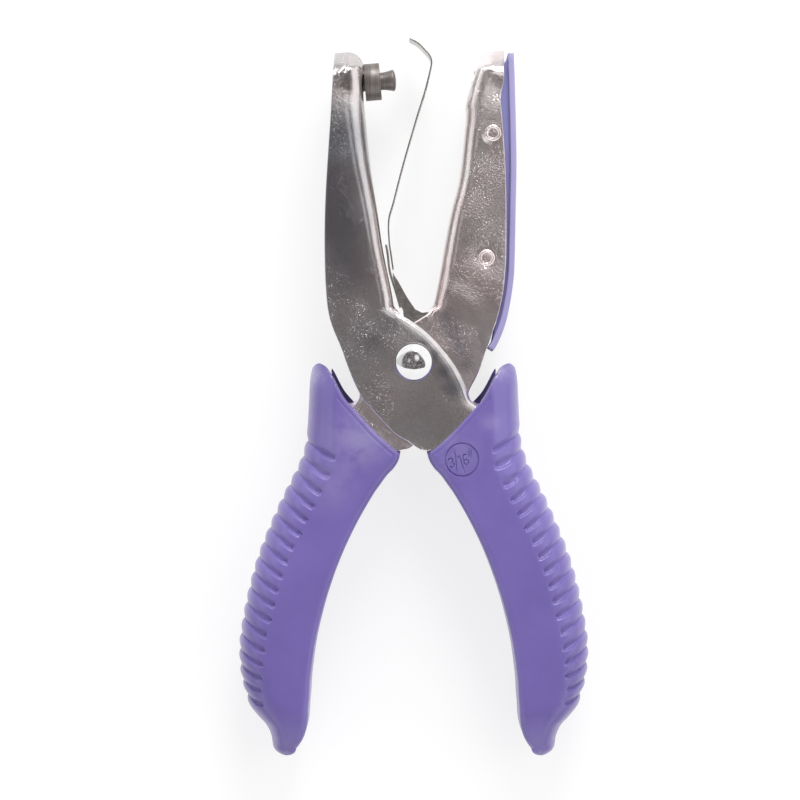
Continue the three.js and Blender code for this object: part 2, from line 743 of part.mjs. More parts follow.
function gripSection(palm, inner, halfThickness, depth) {
  const along = palm.clone().sub(inner);
  const length = along.length();
  along.normalize();
  const round = Math.min(gripPalmRound, length * palmRoundShare);
  const corner = Math.min(gripInnerRound, length * cornerLimitShare, halfThickness * cornerLimitShare);
  const section = [];
  for (let step = 0; step <= palmSteps; step += 1) {
    const angle = Math.PI / 2 - (Math.PI * step) / palmSteps;
    const atEnd = step === 0 || step === palmSteps;
    const sink = atEnd ? 0 : depth * (1 + grooveEndShare * Math.abs(Math.sin(angle)));
    const outward = (round - sink) * Math.cos(angle);
    section.push([length - round + outward, (halfThickness - sink) * Math.sin(angle)]);
  }
  for (const side of [-1, 1]) {
    for (let step = 0; step <= cornerSteps; step += 1) {
      const share = side < 0 ? step / cornerSteps : 1 - step / cornerSteps;
      const angle = (Math.PI / 2) * share;
      section.push([
        corner - corner * Math.sin(angle),
        side * (halfThickness - corner + corner * Math.cos(angle)),
      ]);
    }
  }
  return section.map(([reach, height]) => {
    const point = inner.clone().addScaledVector(along, reach);
    return new THREE.Vector3(point.x, point.y, height);
  });
}

function loft(sections) {
  const size = sections[0].length;
  const positions = sections.flat().flatMap((point) => [point.x, point.y, point.z]);
  const index = [];
  for (let ring = 1; ring < sections.length; ring += 1) {
    for (let i = 0; i < size; i += 1) {
      const next = (i + 1) % size;
      const a = (ring - 1) * size;
      const b = ring * size;
      index.push(a + i, b + i, b + next, a + i, b + next, a + next);
    }
  }
  const last = (sections.length - 1) * size;
  for (let i = 1; i < size - 1; i += 1) {
    index.push(0, i, i + 1, last, last + i + 1, last + i);
  }
  const geometry = new THREE.BufferGeometry();
  geometry.setAttribute('position', new THREE.BufferAttribute(new Float32Array(positions), 3));
  geometry.setIndex(index);
  return solidOf(geometry);
}

// Places along the grip, each with its depth: four to a groove, one on the rounded rib after it, and even
// ones before and after them all
function gripPlaces(palm) {
  const grooved = [];
  for (let index = 0; index < grooveCount; index += 1) {
    const middle = grooveStart + index * groovePitch;
    const half = grooveWidth / 2;
    const floor = grooveFloorWidth / 2;
    const profile = [
      [-half, ribRound],
      [-floor, grooveDepth],
      [floor, grooveDepth],
      [half, ribRound],
      [groovePitch / 2, 0],
    ];
    for (const [offset, depth] of profile) {
      grooved.push([palm.getUtoTmapping(0, middle + offset), depth]);
    }
  }
  const spans = (gripPalmShares.length - 1) * gripSteps;
  const even = [];
  for (let step = 0; step <= spans; step += 1) {
    even.push([step / spans, 0]);
  }
  const first = grooved[0][0];
  const last = grooved[grooved.length - 1][0];
  const margin = 1 / (spans + spans);
  const before = even.filter(([place]) => place < first - margin);
  const after = even.filter(([place]) => place > last + margin);
  return [...before, ...grooved, ...after];
}

function gripBody() {
  const palm = new THREE.SplineCurve(placed(gripPalmShares, gripSpread, gripLength));
  const inner = new THREE.SplineCurve(placed(gripInnerShares, gripSpread, gripLength));
  const thickness = new THREE.SplineCurve(gripThicknessShares.map((share, i) => new THREE.Vector2(i, share)));
  return loft(gripPlaces(palm).map(([place, depth]) => {
    const share = Math.min(1, thickness.getPoint(place).y);
    const lead = sectionLeadShare * Math.sin(Math.PI * place);
    return gripSection(palm.getPoint(place), inner.getPoint(place + lead), gripHalfThickness * share, depth);
  }));
}

// The hollow of a grip follows the handle's web with its bends, and is open at the mouth
function gripCavity(cavityHalfWidth) {
  const { palm, inner } = punchOutlines;
  const half = cavityHalfWidth + fitGap;
  const grown = palm.map((point) => new THREE.Vector2(point.x + fitGap, point.y));
  grown[grown.length - 1].y -= fitGap;
  const low = grown[grown.length - 1];
  const out = new THREE.Vector2(-gripInnerRound - overrun, gripInnerRound + overrun);
  const cavityInner = inner.map((point) => new THREE.Vector2(point.x - fitGap, point.y));
  cavityInner[0].y = low.y;
  const sides = [
    grown[0].clone().add(out).add(out),
    grown[0].clone().add(out),
    ...grown,
    ...cavityInner,
    cavityInner[cavityInner.length - 1].clone().add(out),
  ];
  const web = [
    new THREE.Vector2(grown[1].x, gripSpread),
    ...grown.slice(1, -1),
    new THREE.Vector2(low.x, low.y - bendRadius),
    new THREE.Vector2(-gripSpread, low.y - bendRadius),
    new THREE.Vector2(-gripSpread, gripSpread),
  ];
  return slab(sides, -half, half).intersect(roundedSlab(web, half, bendRadius, 0));
}

// The mouth is cut lower in front, so that the back wall of the grip shows past the front one
function grip(cavityHalfWidth) {
  const front = smooth(placed(mouthShares, gripSpread, gripLength), curveSteps);
  const back = front.map((point) => new THREE.Vector2(point.x, point.y + backLip));
  const reach = gripHalfThickness + overrun;
  const cut = (line, low, high) => slab([
    ...line,
    new THREE.Vector2(-gripSpread, line[line.length - 1].y),
    new THREE.Vector2(-gripSpread, gripSpread),
    new THREE.Vector2(line[0].x, gripSpread),
  ], low, high);
  const mouth = cut(front, -outerHalfWidth - fitGap, reach).add(cut(back, -reach, 0));
  return gripBody().subtract(mouth).subtract(gripCavity(cavityHalfWidth));
}

// The assembly

const group = new THREE.Group();

function addPiece(name, solid, color, roughness, metalness) {
  const material = new THREE.MeshStandardMaterial({ color, roughness, metalness });
  const mesh = new THREE.Mesh(geometryOf(solid), material);
  mesh.name = name;
  group.add(mesh);
}

addPiece('punch_lever', punchLever(), 0xc9c6c4, 0.25, 1);
addPiece('die_lever', dieLever().mirror(acrossMirror), 0xc9c6c4, 0.25, 1);
addPiece('die_bush', dieBush().mirror(acrossMirror), 0x8c8a88, 0.4, 1);
addPiece('punch_pin', punchPin(), 0x4a4038, 0.45, 1);
addPiece('punch_collar', punchCollar(), 0x4a4038, 0.5, 1);
addPiece('pivot_rivet', pivotRivet(), 0xd8d8da, 0.15, 1);
addPiece('spacer_sleeve', spacerSleeve(), 0xa8a8a8, 0.4, 1);
addPiece('return_spring', returnSpring(), 0x9c9c9c, 0.4, 1);
addPiece('stripper_bracket', stripperBracket(), 0xb8b4b0, 0.3, 1);
addPiece('stripper_leaf', stripperLeaf(), 0xb8b4b0, 0.3, 1);
addPiece('chip_tray', chipTray().mirror(acrossMirror), 0x8f84cc, 0.5, 0);
addPiece('punch_grip', grip(outerHalfWidth), 0x7869b2, 0.55, 0);
addPiece('die_grip', grip(innerHalfWidth).mirror(acrossMirror), 0x7869b2, 0.55, 0);

// The origin is under the middle of the tool, on the surface that the grips lie on
const box = new THREE.Box3().setFromObject(group);
const middle = box.getCenter(new THREE.Vector3());
group.position.set(-middle.x, -middle.y, -box.min.z);

export default group;
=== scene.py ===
import math

import bmesh
import bpy
import numpy as np
from mathutils import Matrix, Vector
from mathutils.geometry import delaunay_2d_cdt

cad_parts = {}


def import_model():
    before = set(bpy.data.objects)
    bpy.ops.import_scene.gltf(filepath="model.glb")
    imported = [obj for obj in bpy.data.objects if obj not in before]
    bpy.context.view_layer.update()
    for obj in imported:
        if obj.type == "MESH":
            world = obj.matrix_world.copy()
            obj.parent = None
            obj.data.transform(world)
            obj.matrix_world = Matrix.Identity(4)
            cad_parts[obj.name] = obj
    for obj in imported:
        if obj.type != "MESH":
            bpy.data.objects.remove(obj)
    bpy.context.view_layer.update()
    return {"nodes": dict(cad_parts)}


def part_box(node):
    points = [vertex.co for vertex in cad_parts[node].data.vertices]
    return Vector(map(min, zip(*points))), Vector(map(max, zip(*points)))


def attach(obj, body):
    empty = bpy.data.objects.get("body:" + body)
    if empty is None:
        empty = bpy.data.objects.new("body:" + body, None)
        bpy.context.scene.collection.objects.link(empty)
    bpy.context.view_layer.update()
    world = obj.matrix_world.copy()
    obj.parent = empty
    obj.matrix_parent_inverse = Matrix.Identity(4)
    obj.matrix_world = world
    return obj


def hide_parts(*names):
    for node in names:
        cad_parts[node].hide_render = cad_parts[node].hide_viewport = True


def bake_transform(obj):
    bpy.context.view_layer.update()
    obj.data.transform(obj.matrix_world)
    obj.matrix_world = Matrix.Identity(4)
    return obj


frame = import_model()

# Lengths below are in millimetres from the pivot's axis, with z = 0 in the middle of the tool's width.
MM = 0.001
rivet_low, rivet_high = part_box("pivot_rivet")
lever_low, lever_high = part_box("punch_lever")
PIVOT = Vector((
    (rivet_low.x + rivet_high.x) / 2,
    (rivet_low.y + rivet_high.y) / 2,
    (lever_low.z + lever_high.z) / 2,
))

# Driving dimensions
JAW_LENGTH = 70.0
JAW_SPREAD = 20.0
GRIP_LENGTH = 88.0
GRIP_SPREAD = 40.0
SHEET = 1.2
OUTER_HALF = 7.5
FIT_GAP = 0.3
INNER_HALF = OUTER_HALF - SHEET - FIT_GAP
BEND_RADIUS = 3.0
NOSE_RADIUS = 3.5
NOSE_SLOPE = math.tan(math.radians(50))
NOSE_REACH = 4.7
NOSE_SOFTNESS = 1.2
EDGE_RADIUS = 0.25
CROSSING_EDGE_SLOPE = 0.85
CROSSING_EDGE_SOFTNESS = 0.42
CROSSING_REACH = 3.0
CROSSING_BLEND = 1.2
NOSE_FROM = 0.935 * JAW_LENGTH
NOSE_BLEND = 0.05 * JAW_LENGTH
NOSE_RIM = 2.2
NOSE_RIM_FALL = 0.2
SOFT_FROM = 0.86 * JAW_LENGTH
SOFT_REACH = 0.9
SOFT_BLEND = 1.2
BEND_GROWS_FROM = 0.4 * JAW_LENGTH
BEND_GROWS_OVER = 0.4 * JAW_LENGTH
RELIEF_BLEND = 1.2
THINNEST = 0.1
JOGGLE_RADIUS = 15.2
JOGGLE_RUN = 8.0
PUNCH_INSET = 6.7
PUNCH_TILT = math.radians(4.7)
PUNCH_STICK = 7.3
DIE_INSET = 8.1
DIE_TILT = math.radians(11.7)
DIE_HOLE = 3.9

# Outlines of the levers, jaw to the left: shares of JAW_SPREAD across and of JAW_LENGTH along
LOWER_OUTER = [(-0.485, -0.147), (-0.345, -0.191), (-0.205, -0.231), (-0.065, -0.255)]
PUNCH_THROAT = [
    (-0.565, 0.85), (-0.54, 0.773), (-0.48, 0.613), (-0.41, 0.486), (-0.345, 0.357), (-0.255, 0.23),
    (-0.225, 0.18),
]
PUNCH_OUTER = [
    (-0.885, 0.985), (-0.9, 0.93), (-0.93, 0.773), (-0.98, 0.55), (-0.995, 0.39), (-0.98, 0.23),
    (-0.935, 0.134), (-0.805, 0.039), (-0.7, -0.041), (-0.585, -0.11), *LOWER_OUTER,
]
PUNCH_SHOULDER = (-0.565, 0.998)
PUNCH_TOP = (-1.4, 0.975)
DIE_THROAT = [
    (-0.645, 0.886), (-0.6, 0.843), (-0.583, 0.815), (-0.59, 0.79), (-0.568, 0.72), (-0.505, 0.581),
    (-0.425, 0.486), (-0.36, 0.39), (-0.305, 0.294), (-0.25, 0.214), (-0.225, 0.183),
]
DIE_OUTER = [
    (-1.012, 0.984), (-1.006, 0.945), (-1.005, 0.9), (-0.97, 0.84), (-0.985, 0.773), (-1.015, 0.646),
    (-1.03, 0.517), (-1.03, 0.36), (-1.02, 0.294), (-0.99, 0.214), (-0.925, 0.134), (-0.83, 0.056),
    (-0.72, -0.033), (-0.63, -0.083), (-0.595, -0.106), *LOWER_OUTER,
]
DIE_SHOULDER = (-0.765, 1.0)
DIE_TOP = (-1.4, 0.995)
CROSSING = [
    (-0.145, 0.15), (0.005, 0.123), (0.165, 0.087), (0.295, 0.047), (0.4, 0.01), (0.5, -0.033),
    (0.59, -0.089),
]
HEEL = [(0.635, -0.123), (0.7, -0.131)]

# Handles and grips, handle to the right: shares of GRIP_SPREAD across and of GRIP_LENGTH along
HANDLE_PALM = [
    (0.385, -0.104), (0.452, -0.122), (0.485, -0.159), (0.505, -0.211), (0.545, -0.2625), (0.63, -0.339),
    (0.705, -0.415), (0.77, -0.491), (0.8175, -0.567), (0.85, -0.643), (0.87, -0.719), (0.865, -0.795),
    (0.845, -0.83),
]
HANDLE_INNER = [
    (0.64, -0.83), (0.635, -0.795), (0.615, -0.719), (0.58, -0.643), (0.53, -0.567), (0.4725, -0.491),
    (0.395, -0.415), (0.3025, -0.339), (0.2225, -0.2875), (0.125, -0.235), (0.033, -0.2225),
]
GRIP_PALM = [
    (0.54, 0.03), (0.578, -0.033), (0.5875, -0.097), (0.595, -0.159), (0.61, -0.211), (0.65, -0.2625),
    (0.735, -0.339), (0.81, -0.415), (0.875, -0.491), (0.9225, -0.567), (0.9575, -0.643), (0.98, -0.719),
    (0.97, -0.795), (0.94, -0.847), (0.92, -0.873), (0.8775, -0.898), (0.8275, -0.923), (0.8, -0.949),
    (0.79, -0.974), (0.7725, -0.992),
]
GRIP_INNER = [
    (0.067, -0.207), (0.082, -0.245), (0.11, -0.268), (0.15, -0.2875), (0.19, -0.3125), (0.23, -0.339),
    (0.305, -0.398), (0.3725, -0.46), (0.43, -0.523), (0.48, -0.589), (0.52, -0.655), (0.55, -0.719),
    (0.5725, -0.795), (0.58, -0.847), (0.585, -0.873), (0.5875, -0.898), (0.595, -0.923), (0.6125, -0.949),
    (0.645, -0.974), (0.6825, -0.992),
]
GRIP_THICKNESS = [*[1] * 14, 0.97, 0.93, 0.87, 0.78, 0.62, 0.4]
MOUTH = [
    (0.65, -0.035), (0.575, -0.016), (0.545, -0.0055), (0.52, -0.0045), (0.49, -0.0136), (0.47, -0.027),
    (0.4475, -0.043), (0.42, -0.068), (0.3875, -0.093), (0.3375, -0.119), (0.2875, -0.144), (0.2275, -0.174),
    (0.1675, -0.2), (0.1125, -0.2216), (0.07, -0.236), (0, -0.27),
]
GRIP_HALF = 9.5
GRIP_PALM_ROUND = 8.4
GRIP_INNER_ROUND = 1.8
SECTION_LEAD = 0.1
BACK_LIP = 1.5
GROOVE_COUNT = 18

# Stripper, chip tray and dimples, shares of JAW_SPREAD and JAW_LENGTH
EAR = [
    (-0.26, 0), (-0.19, 0.04), (-0.115, 0.15), (-0.165, 0.194), (-0.235, 0.285), (0.015, 0.169),
    (0.21, 0.163),
]
BRIDGE = [(-0.15, 0.175), (-0.2, 0.225), (-0.268, 0.29), (-0.292, 0.345), (-0.31, 0.375)]
LEAF = [
    (-0.232, 0.297), (-0.255, 0.345), (-0.275, 0.386), (-0.28, 0.453), (-0.225, 0.513), (-0.12, 0.629),
    (0.03, 0.777), (0.12, 0.86), (0.19, 0.94), (0.198, 0.962), (0.175, 0.979), (0.14, 0.991), (0.055, 1.016),
    (-0.045, 1.033),
]
LEAF_HOLE = (0.155, 0.887)
LEAF_HOLE_RADIUS = 3.28
LEAF_LEAN = math.radians(14)
LEAF_HALF = INNER_HALF - SHEET - FIT_GAP - FIT_GAP
LEAF_SHEET = 0.35
BRACKET_HALF = INNER_HALF - SHEET - FIT_GAP
BRACKET_SHEET = 0.5
BRACKET_EYE = 5.2
TRAY = [
    (-1.08, 0.981), (-1.095, 0.857), (-1.11, 0.643), (-1.1, 0.471), (-1.09, 0.33), (-1.08, 0.27),
    (-1.047, 0.2), (-0.99, 0.125), (-0.91, 0.066), (-0.855, 0.04),
]
TRAY_FLANGE = [(-0.96, 0.19), (-0.8, 0.2), (-0.63, 0.314), (-0.68, 0.543), (-0.77, 0.771), (-0.84, 0.885)]
DIMPLES = [(-0.88, 0.727), (-0.81, 0.33)]

# How near a guide point may come to an outline, and how near two points are one
GUIDE_CLEARANCE = 0.008
MERGE_DISTANCE = 1e-5
ON_LINE = 1e-4


def ease(share):
    """A share from 0 to 1 that starts and ends softly."""
    return share * share * (3 - 2 * share)


def placed(shares, spread=JAW_SPREAD, length=JAW_LENGTH):
    return [np.array((across * spread, along * length)) for across, along in shares]


def smooth(points, steps=6):
    """A curve through the points, with its ends held."""
    points = [np.asarray(p, float) for p in points]
    found, last = [], len(points) - 1
    for i in range(last):
        p0 = points[max(i - 1, 0)]
        p1, p2 = points[i], points[i + 1]
        p3 = points[min(i + 2, last)]
        v0, v1 = (p2 - p0) / 2, (p3 - p1) / 2
        for step in range(steps):
            t = step / steps
            found.append(
                (2 * p1 - 2 * p2 + v0 + v1) * t**3 + (-3 * p1 + 3 * p2 - 2 * v0 - v1) * t**2 + v0 * t + p1
            )
    found.append(points[last])
    return found


def jaw_curve(shares, steps):
    return smooth(placed(shares), steps)


def grip_curve(shares, steps):
    return smooth(placed(shares, GRIP_SPREAD, GRIP_LENGTH), steps)


def arc_corner(before, corner, after, radius, steps=12):
    """The arc that rounds a corner of a polygon."""
    to_before = (before - corner) / np.linalg.norm(before - corner)
    to_after = (after - corner) / np.linalg.norm(after - corner)
    half = math.acos(float(np.clip(to_before @ to_after, -1, 1))) / 2
    reach = radius / math.tan(half)
    start, end = corner + to_before * reach, corner + to_after * reach
    middle = to_before + to_after
    centre = corner + middle / np.linalg.norm(middle) * radius / math.sin(half)
    a, b = start - centre, end - centre
    turn = math.atan2(a[0] * b[1] - a[1] * b[0], a @ b)
    found = []
    for step in range(steps + 1):
        angle = turn * step / steps
        c, s = math.cos(angle), math.sin(angle)
        found.append(centre + np.array((a[0] * c - a[1] * s, a[0] * s + a[1] * c)))
    return found


def dense(points, gap):
    """The same line with no step longer than the gap."""
    found = [points[0]]
    for a, b in zip(points, points[1:]):
        count = max(1, math.ceil(np.linalg.norm(b - a) / gap))
        found.extend(a + (b - a) * step / count for step in range(1, count + 1))
    return found


def line_normals(points):
    """Unit normals to the right of a line."""
    t = np.gradient(np.array(points), axis=0)
    t /= np.linalg.norm(t, axis=1)[:, None]
    return np.stack((t[:, 1], -t[:, 0]), axis=1)


def run_lengths(line):
    """The length run from a line's start to each of its points."""
    return np.concatenate(([0], np.cumsum(np.linalg.norm(np.diff(np.array(line), axis=0), axis=1))))


def read_off(places, known, line):
    """Points of a line at places, where the place of each of its own points is known."""
    line = np.array(line)
    return np.stack([np.interp(places, known, line[:, k]) for k in range(line.shape[1])], axis=-1)


def nearest(points, line):
    """Distance of each point from a line, the place along it as an index, and the point there."""
    p = np.array(points)[:, None, :]
    a, b = np.array(line[:-1])[None], np.array(line[1:])[None]
    ab = b - a
    t = np.clip(((p - a) * ab).sum(-1) / np.maximum((ab * ab).sum(-1), 1e-12), 0, 1)
    foot = a + ab * t[..., None]
    gap = np.linalg.norm(p - foot, axis=-1)
    k = gap.argmin(1)
    rows = np.arange(len(k))
    return gap[rows, k], k + t[rows, k], foot[rows, k]


def inside(points, outline):
    p = np.array(points)
    a = np.array(outline)
    b = np.roll(a, -1, axis=0)
    x, y = p[:, 0][:, None], p[:, 1][:, None]
    crosses = (a[:, 1] > y) != (b[:, 1] > y)
    dy = np.where(np.abs(b[:, 1] - a[:, 1]) < 1e-12, 1e-12, b[:, 1] - a[:, 1])
    hit = crosses & (x < (b[:, 0] - a[:, 0]) * (y - a[:, 1]) / dy + a[:, 0])
    return hit.sum(1) % 2 == 1


def fall(distance, radius):
    """How far a rounded edge falls below the flat at a distance from its rim."""
    short = np.clip(radius - distance, 0, radius)
    return radius - np.sqrt(np.maximum(radius**2 - short**2, 0))


def ring_distances(radius, steps):
    """Where lines lie across a rounded edge: closer together at its rim, and one just past it."""
    rings = [radius * (1 - math.cos(math.pi / 2 * k / steps)) for k in range(1, steps + 1)]
    return [*rings, radius * 1.05 + 0.04]


def triangulated(outline, lines):
    """Triangles over an outline, with edges along the given open lines where they run inside it."""
    coords = [Vector(p) for p in outline]
    count = len(coords)
    edges = [(i, (i + 1) % count) for i in range(count)]
    for line in lines:
        keep = inside(line, outline) & (nearest(line, outline + [outline[0]])[0] > GUIDE_CLEARANCE)
        previous = None
        for point, kept in zip(line, keep):
            if not kept:
                previous = None
                continue
            coords.append(Vector(point))
            if previous is not None:
                edges.append((previous, len(coords) - 1))
            previous = len(coords) - 1
    result = delaunay_2d_cdt(coords, edges, [], 0, MERGE_DISTANCE, False)
    points = np.array([tuple(v) for v in result[0]])
    triangles = np.array([tuple(f) for f in result[2]])
    kept = inside(points[triangles].mean(axis=1), outline)
    return points, [tuple(int(i) for i in t) for t in triangles[kept]]


def offset_lines(line, distances):
    """Lines beside a line, to its left, left out where they come nearer to it than they should."""
    p, n = np.array(line), line_normals(line)
    found = []
    for distance in distances:
        moved = p - n * distance
        near = nearest(moved, line)[0] > distance - 0.02
        run = []
        for point, kept in [*zip(moved, near), (None, False)]:
            if kept:
                run.append(point)
                continue
            if len(run) > 1:
                found.append(run)
            run = []
    return found


def circle(centre, radius, steps=32):
    angles = [2 * math.pi * k / steps for k in range(steps + 1)]
    return [np.array((centre[0] + radius * math.cos(a), centre[1] + radius * math.sin(a))) for a in angles]


def added(name, data):
    thing = bpy.data.objects.new(name, data)
    bpy.context.scene.collection.objects.link(thing)
    return thing


def finished(name, bm, material, body, node, mirror=False, sharp=35):
    """A mesh in millimetres from the pivot becomes a piece in the frame, in place of a node."""
    if mirror:
        bmesh.ops.transform(bm, matrix=Matrix.Scale(-1, 4, (1, 0, 0)), verts=bm.verts)
    bmesh.ops.recalc_face_normals(bm, faces=bm.faces)
    bmesh.ops.transform(bm, matrix=Matrix.Translation(PIVOT) @ Matrix.Scale(MM, 4), verts=bm.verts)
    mesh = bpy.data.meshes.new(name)
    bm.to_mesh(mesh)
    bm.free()
    for polygon in mesh.polygons:
        polygon.use_smooth = True
    mesh.set_sharp_from_angle(angle=math.radians(sharp))
    mesh.materials.append(material)
    piece = added(name, mesh)
    if body:
        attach(piece, body)
    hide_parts(node)
    return piece


def mesh_from(verts, faces):
    bm = bmesh.new()
    made = [bm.verts.new(tuple(v)) for v in verts]
    for face in faces:
        corners = [made[i] for i in face]
        if len(set(corners)) > 2:
            try:
                bm.faces.new(corners)
            except ValueError:
                continue
    return bm


def boundary_edges(triangles):
    seen = {}
    for tri in triangles:
        for edge in zip(tri, tri[1:] + tri[:1]):
            if not seen.pop(edge[::-1], False):
                seen[edge] = True
    return list(seen)


def slab(outline, low, high, rounding=0.15, rounds=3, rim=None):
    """A plate of an outline between two heights, with rounded rims all round or along one line."""
    outline = [np.asarray(p) for p in outline]
    area = sum(a[0] * b[1] - a[1] * b[0] for a, b in zip(outline, outline[1:] + outline[:1]))
    if area < 0:
        outline = outline[::-1]
    rim = rim or outline + [outline[0]]
    points, tris = triangulated(outline, offset_lines(rim, ring_distances(rounding, rounds)))
    drop = fall(nearest(points, rim)[0], rounding)
    count = len(points)
    verts = [(x, y, high - d) for (x, y), d in zip(points, drop)]
    verts += [(x, y, low + d) for (x, y), d in zip(points, drop)]
    faces = list(tris) + [tuple(i + count for i in reversed(t)) for t in tris]
    faces += [(a, a + count, b + count, b) for a, b in boundary_edges(tris)]
    return verts, faces


def joined(parts):
    verts, faces = [], []
    for part_verts, part_faces in parts:
        base = len(verts)
        verts += [tuple(v) for v in part_verts]
        faces += [tuple(i + base for i in f) for f in part_faces]
    return verts, faces


def strip_outline(line, thickness):
    p, n = np.array(line), line_normals(line)
    left, right = p - n * thickness / 2, p + n * thickness / 2
    return [*left, *right[::-1]]


def turned(profile, steps=64):
    """A turned solid about Z from [radius, height] points that start and end on the axis or close."""
    closed = len(profile) > 2 and profile[0] == profile[-1]
    rings = profile[:-1] if closed else profile
    verts, ring_at = [], []
    for radius, height in rings:
        if radius < 1e-9:
            ring_at.append([len(verts)] * steps)
            verts.append((0, 0, height))
            continue
        ring_at.append(list(range(len(verts), len(verts) + steps)))
        for k in range(steps):
            a = 2 * math.pi * k / steps
            verts.append((radius * math.cos(a), radius * math.sin(a), height))
    faces = []
    pairs = list(zip(ring_at, ring_at[1:])) + ([(ring_at[-1], ring_at[0])] if closed else [])
    for lower, upper in pairs:
        for k in range(steps):
            n = (k + 1) % steps
            corners = [lower[k], lower[n], upper[n], upper[k]]
            unique = list(dict.fromkeys(corners))
            if len(unique) > 2:
                faces.append(tuple(unique))
    return verts, faces


def turned_along(profile, steps, across, along, angle):
    """A turned solid, laid so that its axis runs along a direction in the plane of the tool."""
    verts, faces = turned(profile, steps)
    lay = Matrix.Translation((across, along, 0)) @ Matrix.Rotation(angle, 4, "Z")
    lay = lay @ Matrix.Rotation(math.pi / 2, 4, "Y")
    return [tuple(lay @ Vector(v)) for v in verts], faces


def combined(bm, verts, faces, operation="DIFFERENCE"):
    """Takes a solid out of a mesh or joins it on, both still in millimetres."""
    shapes = []
    for source in (bm, mesh_from(verts, faces)):
        bmesh.ops.recalc_face_normals(source, faces=source.faces)
        mesh = bpy.data.meshes.new("shape")
        source.to_mesh(mesh)
        source.free()
        shapes.append(added("shape", mesh))
    modifier = shapes[0].modifiers.new("cut", "BOOLEAN")
    modifier.operation = operation
    modifier.solver = "EXACT"
    modifier.object = shapes[1]
    bpy.context.view_layer.update()
    evaluated = shapes[0].evaluated_get(bpy.context.evaluated_depsgraph_get())
    result = bmesh.new()
    result.from_mesh(evaluated.to_mesh())
    evaluated.to_mesh_clear()
    for shape in shapes:
        bpy.data.objects.remove(shape)
    return result


# Materials

class Nodes:
    """Short calls for the shader nodes of one material or of the world."""

    def __init__(self, tree):
        self.tree = tree

    def put(self, value, socket):
        """Links a socket to a node's output, or gives it a colour, a grey level or a number."""
        if isinstance(value, bpy.types.NodeSocket):
            self.tree.links.new(value, socket)
        elif socket.type == "RGBA":
            socket.default_value = (*value, 1) if isinstance(value, tuple) else (value, value, value, 1)
        else:
            socket.default_value = value

    def node(self, kind, inputs, **settings):
        node = self.tree.nodes.new("ShaderNode" + kind)
        for name, value in settings.items():
            setattr(node, name, value)
        for key, value in inputs.items():
            self.put(value, node.inputs[key])
        return node

    def place(self, kind="Object"):
        return self.node("TexCoord", {}).outputs[kind]

    def axes(self, kind="Object"):
        return self.node("SeparateXYZ", {0: self.place(kind)}).outputs

    def noise(self, scale, detail=2.0, roughness=0.5, place=None):
        inputs = {"Scale": scale, "Detail": detail, "Roughness": roughness}
        inputs["Vector"] = self.place() if place is None else place
        return self.node("TexNoise", inputs).outputs["Fac"]

    def between(self, value, low, high):
        """A smooth step from 0 at one value to 1 at the other."""
        inputs = {"Value": value, "From Min": low, "From Max": high}
        return self.node("MapRange", inputs, interpolation_type="SMOOTHSTEP").outputs["Result"]

    def ramp(self, value, *stops):
        """A blend between two colours or grey levels, each with the value where it stands."""
        node = self.node("ValToRGB", {"Fac": value})
        for element, (position, colour) in zip(node.color_ramp.elements, stops):
            element.position = position
            element.color = (*colour, 1) if isinstance(colour, tuple) else (colour, colour, colour, 1)
        return node.outputs["Color"]

    def layered(self, below, above, share):
        """One colour over another by a share."""
        mix = self.node("Mix", {}, data_type="RGBA")
        for name, value in (("A", below), ("B", above), ("Factor", share)):
            self.put(value, next(s for s in mix.inputs if s.name == name and s.enabled))
        return next(s for s in mix.outputs if s.enabled)

    def calc(self, operation, a, b=0.0):
        return self.node("Math", {0: a, 1: b}, operation=operation).outputs["Value"]

    def times(self, a, b):
        return self.calc("MULTIPLY", a, b)

    def plus(self, a, b):
        return self.calc("ADD", a, b)

    def spot(self, across, along, radius, soft):
        """1 inside a round place on the tool, in millimetres from the pivot, fading to 0 round it."""
        flat = self.node("VectorMath", {0: self.place(), 1: (1, 1, 0)}, operation="MULTIPLY")
        centre = (PIVOT.x + across * MM, PIVOT.y + along * MM, 0)
        reach = self.node("VectorMath", {0: flat.outputs["Vector"], 1: centre}, operation="DISTANCE")
        return self.between(reach.outputs["Value"], (radius + soft) * MM, (radius - soft) * MM)

    def shade(self, inputs, height, distance):
        """Sets the shader's own inputs and a bump that rises by a distance."""
        bump = self.node("Bump", {"Strength": 1.0, "Distance": distance, "Height": height})
        for name, value in {**inputs, "Normal": bump.outputs["Normal"]}.items():
            self.put(value, self.tree.nodes["Principled BSDF"].inputs[name])


def nodes_of(name):
    material = bpy.data.materials.new(name)
    material.use_nodes = True
    return material, Nodes(material.node_tree)


# Dark bluish grey painted over the plating as dark reflections
PAINTED_DARK_REFLECTION = (0.24, 0.255, 0.3)
# Pale lavender painted on the grips as highlights
PAINTED_HIGHLIGHT_PLASTIC = (0.5, 0.45, 0.68)


